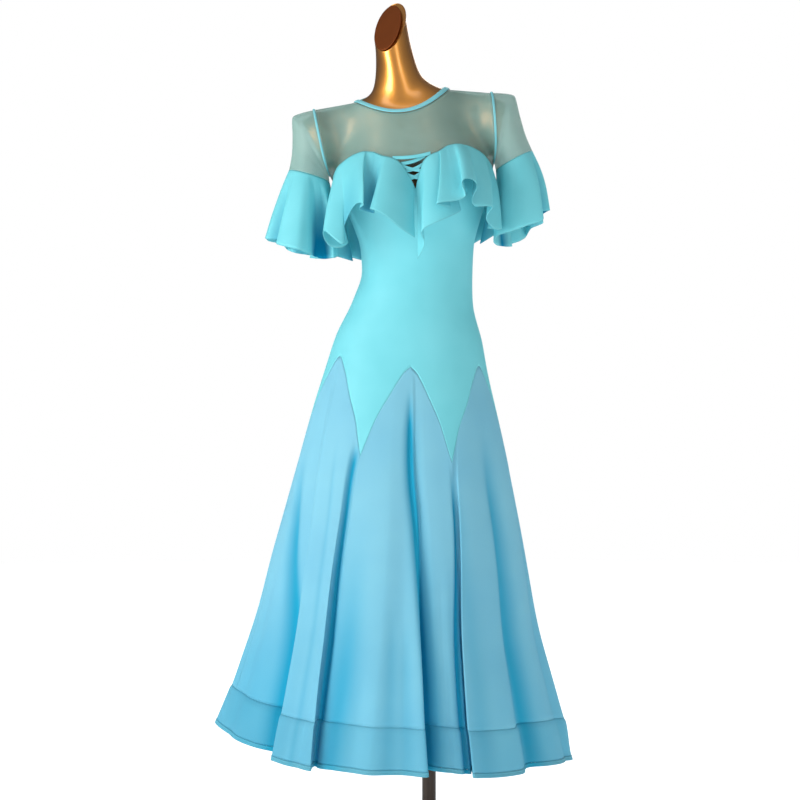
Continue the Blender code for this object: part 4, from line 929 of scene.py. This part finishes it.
def form_cage():
    """Grids that make the form's cage: yoke front and back, neck, trunk and the two shoulder stumps."""
    grids = []
    neck_angles = []
    for facing in (1, -1):
        grid = yoke_grid(facing, 4, 24)[::6]
        side = 4 * ARMHOLE_STEPS + 1
        width = grid.shape[1]
        grid = grid[:, np.concatenate([np.arange(0, side, 4), np.arange(side, width - side, 4),
                np.arange(width - side, width, 4)])]
        grids.append((grid, False))
        depth = NECKLINE["front"] if facing > 0 else NECKLINE["back"]
        ahead = -grid[0, :, 1] * NECKLINE["half_width"] / depth
        neck_angles.append(np.degrees(np.arctan2(grid[0, :, 0], ahead)))
    angle = np.concatenate([neck_angles[0], neck_angles[1][::-1][1:-1]])
    rise = np.array([0.0, 0.04, 0.10, 0.17, 0.24, 0.36, 0.50, 0.62, 0.75, 0.88, 0.97, 1.0])
    neck = neck_rings(angle, rise)
    middle = neck[-1].mean(axis=0)
    lip = np.stack([neck[-1] + (middle - neck[-1]) * share for share in (0.03, 0.12, 0.5)])
    grids.append((np.concatenate([neck, lip])[::-1], True))
    front, back = half_ring(1), half_ring(-1)
    trunk_angle = np.concatenate([front, np.sort(back)[1:-1]])
    shares = np.array([0.0, 0.05, 0.13, 0.23, 0.35, 0.48, 0.61, 0.74, 0.87, 0.97, 1.0])[:, None]
    height = column_height(trunk_angle, "top") * (1 - shares) + FORM_BOTTOM * shares
    trunk = ring(trunk_angle + 0 * height, height)
    foot = trunk[-1:] + (trunk[-1].mean(axis=0) - trunk[-1:]) * np.array([0.04, 0.5])[:, None, None]
    grids.append((np.concatenate([trunk, foot]), True))
    loop_angle = np.linspace(0.0, 360.0, 2 * ARMHOLE_STEPS, endpoint=False)
    turned = np.radians(loop_angle)
    for side in (1, -1):
        loop = mirrored(sleeve(loop_angle, 0 * loop_angle), side)
        end = np.stack([STUMP["across"] + STUMP["lean"] * np.cos(turned), -STUMP["depth"] * np.sin(turned),
                        STUMP["height"] + STUMP["half_height"] * np.cos(turned)], axis=-1)
        end = mirrored(end, side)
        middle = end.mean(axis=0)
        grids.append((np.stack([loop, loop * 0.45 + end * 0.55, end, end * 0.9 + middle * 0.1,
                                end * 0.5 + middle * 0.5]), True))
    return grids


def make_form():
    """The smooth limbless form: the cage's patches merged, drawn in under the cloth and subdivided."""
    points, faces, count = [], [], 0
    for grid, closed in form_cage():
        rows, columns = grid.shape[:2]
        points.append(grid.reshape(-1, 3))
        faces += (grid_faces(rows, columns, closed) + count).tolist()
        count += rows * columns
    points = np.concatenate(points)
    mesh = bpy.data.meshes.new("smooth_gold_form")
    mesh.from_pydata(points, [], faces)
    built = bmesh.new()
    built.from_mesh(mesh)
    bmesh.ops.remove_doubles(built, verts=built.verts[:], dist=0.00005)
    bmesh.ops.holes_fill(built, edges=[e for e in built.edges if e.is_boundary], sides=0)
    bmesh.ops.recalc_face_normals(built, faces=built.faces[:])
    built.normal_update()
    built.to_mesh(mesh)
    built.free()
    count = len(mesh.vertices)
    spots, normals = np.zeros(count * 3), np.zeros(count * 3)
    mesh.vertices.foreach_get("co", spots)
    mesh.vertices.foreach_get("normal", normals)
    spots, normals = spots.reshape(-1, 3), normals.reshape(-1, 3)
    clearance = np.interp(spots[:, 2], CLEARANCE["height"], CLEARANCE["gap"])
    placed = sway(spots - normals * clearance[:, None])
    lowest = spots[:, 2] < FORM_BOTTOM + 0.001
    placed[lowest, 2] = FORM_BOTTOM
    mesh.vertices.foreach_set("co", placed.reshape(-1))
    mesh.update()
    made = finish_piece("smooth_gold_form", mesh, gold_plate, ["form_torso"])
    rounding = made.modifiers.new("rounding", "SUBSURF")
    rounding.levels = rounding.render_levels = 2
    return made


def make_neck_cap():
    """The plate over the neck's slanted cut, coloured as a painted dark reflection: rings that close to a
    point, 2 mm thick.
    """
    rim = neck_rings(np.arange(0.0, 360.0, 4.0), np.array([1.0]))[0]
    middle = rim.mean(axis=0)
    shares = np.array([0.95, 0.935, 0.9, 0.6, 0.3, 0.02])[:, None, None]
    middle = middle + CAP_SHIFT * np.array([1.0, 0.0, NECK_CUT["slope_across"]])
    top = sway(middle + (rim - rim.mean(axis=0)) * CAP_SHARES * shares) + np.array([0.0, -0.0007, 0.0016])
    top[0, :, 2] -= 0.0014
    top[1, :, 2] -= 0.0003
    rows, columns = top.shape[:2]
    mesh = bpy.data.meshes.new("neck_cut_plate")
    faces = grid_faces(rows, columns, True)[:, ::-1].tolist()
    mesh.from_pydata(top.reshape(-1, 3), [], faces + [list(range(columns * (rows - 1), columns * rows)),
                list(range(columns))[::-1]])
    turn_faces_out(mesh)
    finish_piece("neck_cut_plate", mesh, cut_face_dark_reflection, ["form_neck_cap"])


def turned(name, profile, node):
    """A piece turned about the stand's axis: its profile of (radius, height), top to bottom, carried
    round."""
    profile = np.array(profile)
    angle = np.radians(np.arange(0.0, 360.0, 3.0))
    points = np.stack([profile[:, :1] * np.sin(angle), -profile[:, :1] * np.cos(angle),
                       profile[:, 1:] + 0 * angle], axis=-1)
    rows, columns = points.shape[:2]
    mesh = bpy.data.meshes.new(name)
    faces = grid_faces(rows, columns, True).tolist()
    ends = [list(range(columns)), list(range(columns * (rows - 1), columns * rows))[::-1]]
    mesh.from_pydata(points.reshape(-1, 3), [], faces + ends)
    made = finish_piece(name, mesh, coated_steel, [node])
    mesh.set_sharp_from_angle(angle=np.radians(40))
    return made


def make_stand():
    """Base plate with a rounded rim, pole, and the socket under the form."""
    quarter = np.radians(np.linspace(0, 90, 6))
    rim = [(BASE_RADIUS - BASE_EDGE + BASE_EDGE * np.sin(a),
            BASE_THICKNESS - BASE_EDGE + BASE_EDGE * np.cos(a)) for a in quarter]
    under = [(r, BASE_THICKNESS - h) for r, h in rim[::-1]]
    turned("round_base_plate", [(POLE_RADIUS, BASE_THICKNESS), *rim, *under, (POLE_RADIUS, 0.0)],
           "stand_base")
    low, high = FORM_BOTTOM - 0.0003 - SOCKET_HEIGHT, FORM_BOTTOM - 0.0003
    turned("steel_pole", [(POLE_RADIUS, low - 0.0003), (POLE_RADIUS, BASE_THICKNESS + 0.0003)], "stand_pole")
    turned("pole_socket", [(SOCKET_RADIUS - 0.001, high), (SOCKET_RADIUS, high - 0.001),
                           (SOCKET_RADIUS, low + 0.001), (SOCKET_RADIUS - 0.001, low)], "stand_socket")


# The two tall streaks that reflections see: their directions, in degrees from the camera towards the dress's
# right, and their strengths
STREAKS = ((60.0, 2.6), (-24.0, 1.6))
FLOOR_RADIUS = 7.0
FLOOR_DROP = 0.0005
CAMERA_PLACE = (-0.0545, -4.0, 0.825)
CAMERA_LENS = 95.74


def make_light():
    """Pale floor, a white surround and three soft boxes: a large one from the upper left in front, a weaker
    one from the right and one behind that lights the chiffon through. Reflections see a darker surround
    instead, brightest in front, with two tall streaks as from strip lights."""
    bpy.context.scene.view_settings.view_transform = "Standard"
    world = bpy.data.worlds.new("white_studio")
    bpy.context.scene.world = world
    world.use_nodes = True
    tree = world.node_tree
    tree.nodes.clear()
    output = tree.nodes.new("ShaderNodeOutputWorld")
    seen = add(tree, "LightPath")
    room = add(tree, "Background", inputs={"Color": (0.95, 0.98, 1.0, 1.0), "Strength": 0.49})
    place = add(tree, "TexCoord")
    direction = add(tree, "SeparateXYZ", inputs={"Vector": (place, "Generated")})
    depth = add(tree, "MapRange", inputs={"Value": (direction, "Y"), "From Min": -1.0, "From Max": 0.8,
                "To Min": 0.56, "To Max": 0.08})
    strength = depth
    for side, share in STREAKS:
        turned = np.radians(side)
        beside = add(tree, "VectorMath", {"operation": "DOT_PRODUCT"},
                     {0: (place, "Generated"), 1: (np.cos(turned), -np.sin(turned), 0.0)})
        before = add(tree, "VectorMath", {"operation": "DOT_PRODUCT"},
                     {0: (place, "Generated"), 1: (-np.sin(turned), -np.cos(turned), 0.0)})
        off = add(tree, "Math", {"operation": "ABSOLUTE"}, {0: (beside, "Value")})
        near = add(tree, "MapRange", {"interpolation_type": "SMOOTHSTEP"},
                   {"Value": (off, "Value"), "From Min": 0.06, "From Max": 0.17, "To Min": share,
                    "To Max": 0.0})
        ahead = add(tree, "MapRange", {"interpolation_type": "SMOOTHSTEP"},
                    {"Value": (before, "Value"), "From Min": 0.1, "From Max": 0.35})
        streak = add(tree, "Math", {"operation": "MULTIPLY"}, {0: (near, "Result"), 1: (ahead, "Result")})
        strength = add(tree, "Math", {"operation": "ADD"},
                       {0: (strength, "Result" if strength is depth else "Value"), 1: (streak, "Value")})
    dark = add(tree, "Background", inputs={"Color": (1.0, 0.97, 0.93, 1.0),
                "Strength": (strength, "Value")})
    white = add(tree, "Background", inputs={"Color": (1.0, 1.0, 1.0, 1.0), "Strength": 1.0})
    mirrored_room = add(tree, "MixShader", inputs={"Fac": (seen, "Is Glossy Ray"),
        1: (room, "Background"), 2: (dark, "Background")})
    shown = add(tree, "MixShader", inputs={"Fac": (seen, "Is Camera Ray"),
                1: (mirrored_room, "Shader"), 2: (white, "Background")})
    tree.links.new(shown.outputs["Shader"], output.inputs["Surface"])
    for name, place, aim, wide, high, power in (
            ("key_soft_box", (-3.15, -1.8, 1.9), (0.0, 0.0, 1.0), 1.7, 2.8, 96.0),
            ("fill_soft_box", (1.7, -3.2, 1.6), (0.0, 0.0, 1.0), 0.5, 2.6, 17.0),
            ("back_soft_box", (0.6, 2.8, 2.2), (0.0, 0.0, 0.7), 1.6, 2.0, 20.0)):
        lamp = bpy.data.lights.new(name, "AREA")
        lamp.shape = "RECTANGLE"
        lamp.size, lamp.size_y = wide, high
        lamp.energy = power
        box = bpy.data.objects.new(name, lamp)
        bpy.context.scene.collection.objects.link(box)
        box.location = place
        direction = np.array(aim) - np.array(place)
        box.rotation_euler = (np.arctan2(np.hypot(direction[0], direction[1]), -direction[2]), 0.0,
                              np.arctan2(direction[1], direction[0]) - np.pi / 2)
    angle = np.radians(np.arange(0.0, 360.0, 6.0))
    mesh = bpy.data.meshes.new("pale_floor")
    rim = np.stack([FLOOR_RADIUS * np.cos(angle), FLOOR_RADIUS * np.sin(angle), 0 * angle - FLOOR_DROP],
                   axis=-1)
    mesh.from_pydata(rim, [], [list(range(len(angle)))])
    floor = bpy.data.objects.new("pale_floor", mesh)
    bpy.context.scene.collection.objects.link(floor)
    made, tree, output = new_material("matt_white_floor")
    surface = add(tree, "BsdfPrincipled", inputs={
        "Base Color": (0.9, 0.9, 0.9, 1.0), "Roughness": 0.9, "Specular IOR Level": 0.1,
        "Emission Color": (1.0, 1.0, 1.0, 1.0), "Emission Strength": 0.6})
    tree.links.new(surface.outputs["BSDF"], output.inputs["Surface"])
    mesh.materials.append(made)


def make_camera():
    """Level, 4 m in front, a little below the middle of the dress, as the photograph was framed."""
    lens = bpy.data.cameras.new("studio_camera")
    lens.lens, lens.sensor_width = CAMERA_LENS, 36.0
    camera = bpy.data.objects.new("studio_camera", lens)
    bpy.context.scene.collection.objects.link(camera)
    camera.location = CAMERA_PLACE
    camera.rotation_euler = (np.pi / 2, 0.0, 0.0)
    bpy.context.scene.camera = camera


make_camera()
make_form()
make_neck_cap()
make_bodice()
make_yoke()
make_neck_binding()
make_sleeves()
make_sleeve_flounces()
make_bust_flounces()
make_back_flounce()
make_laces()
make_skirt()
make_stand()
make_light()
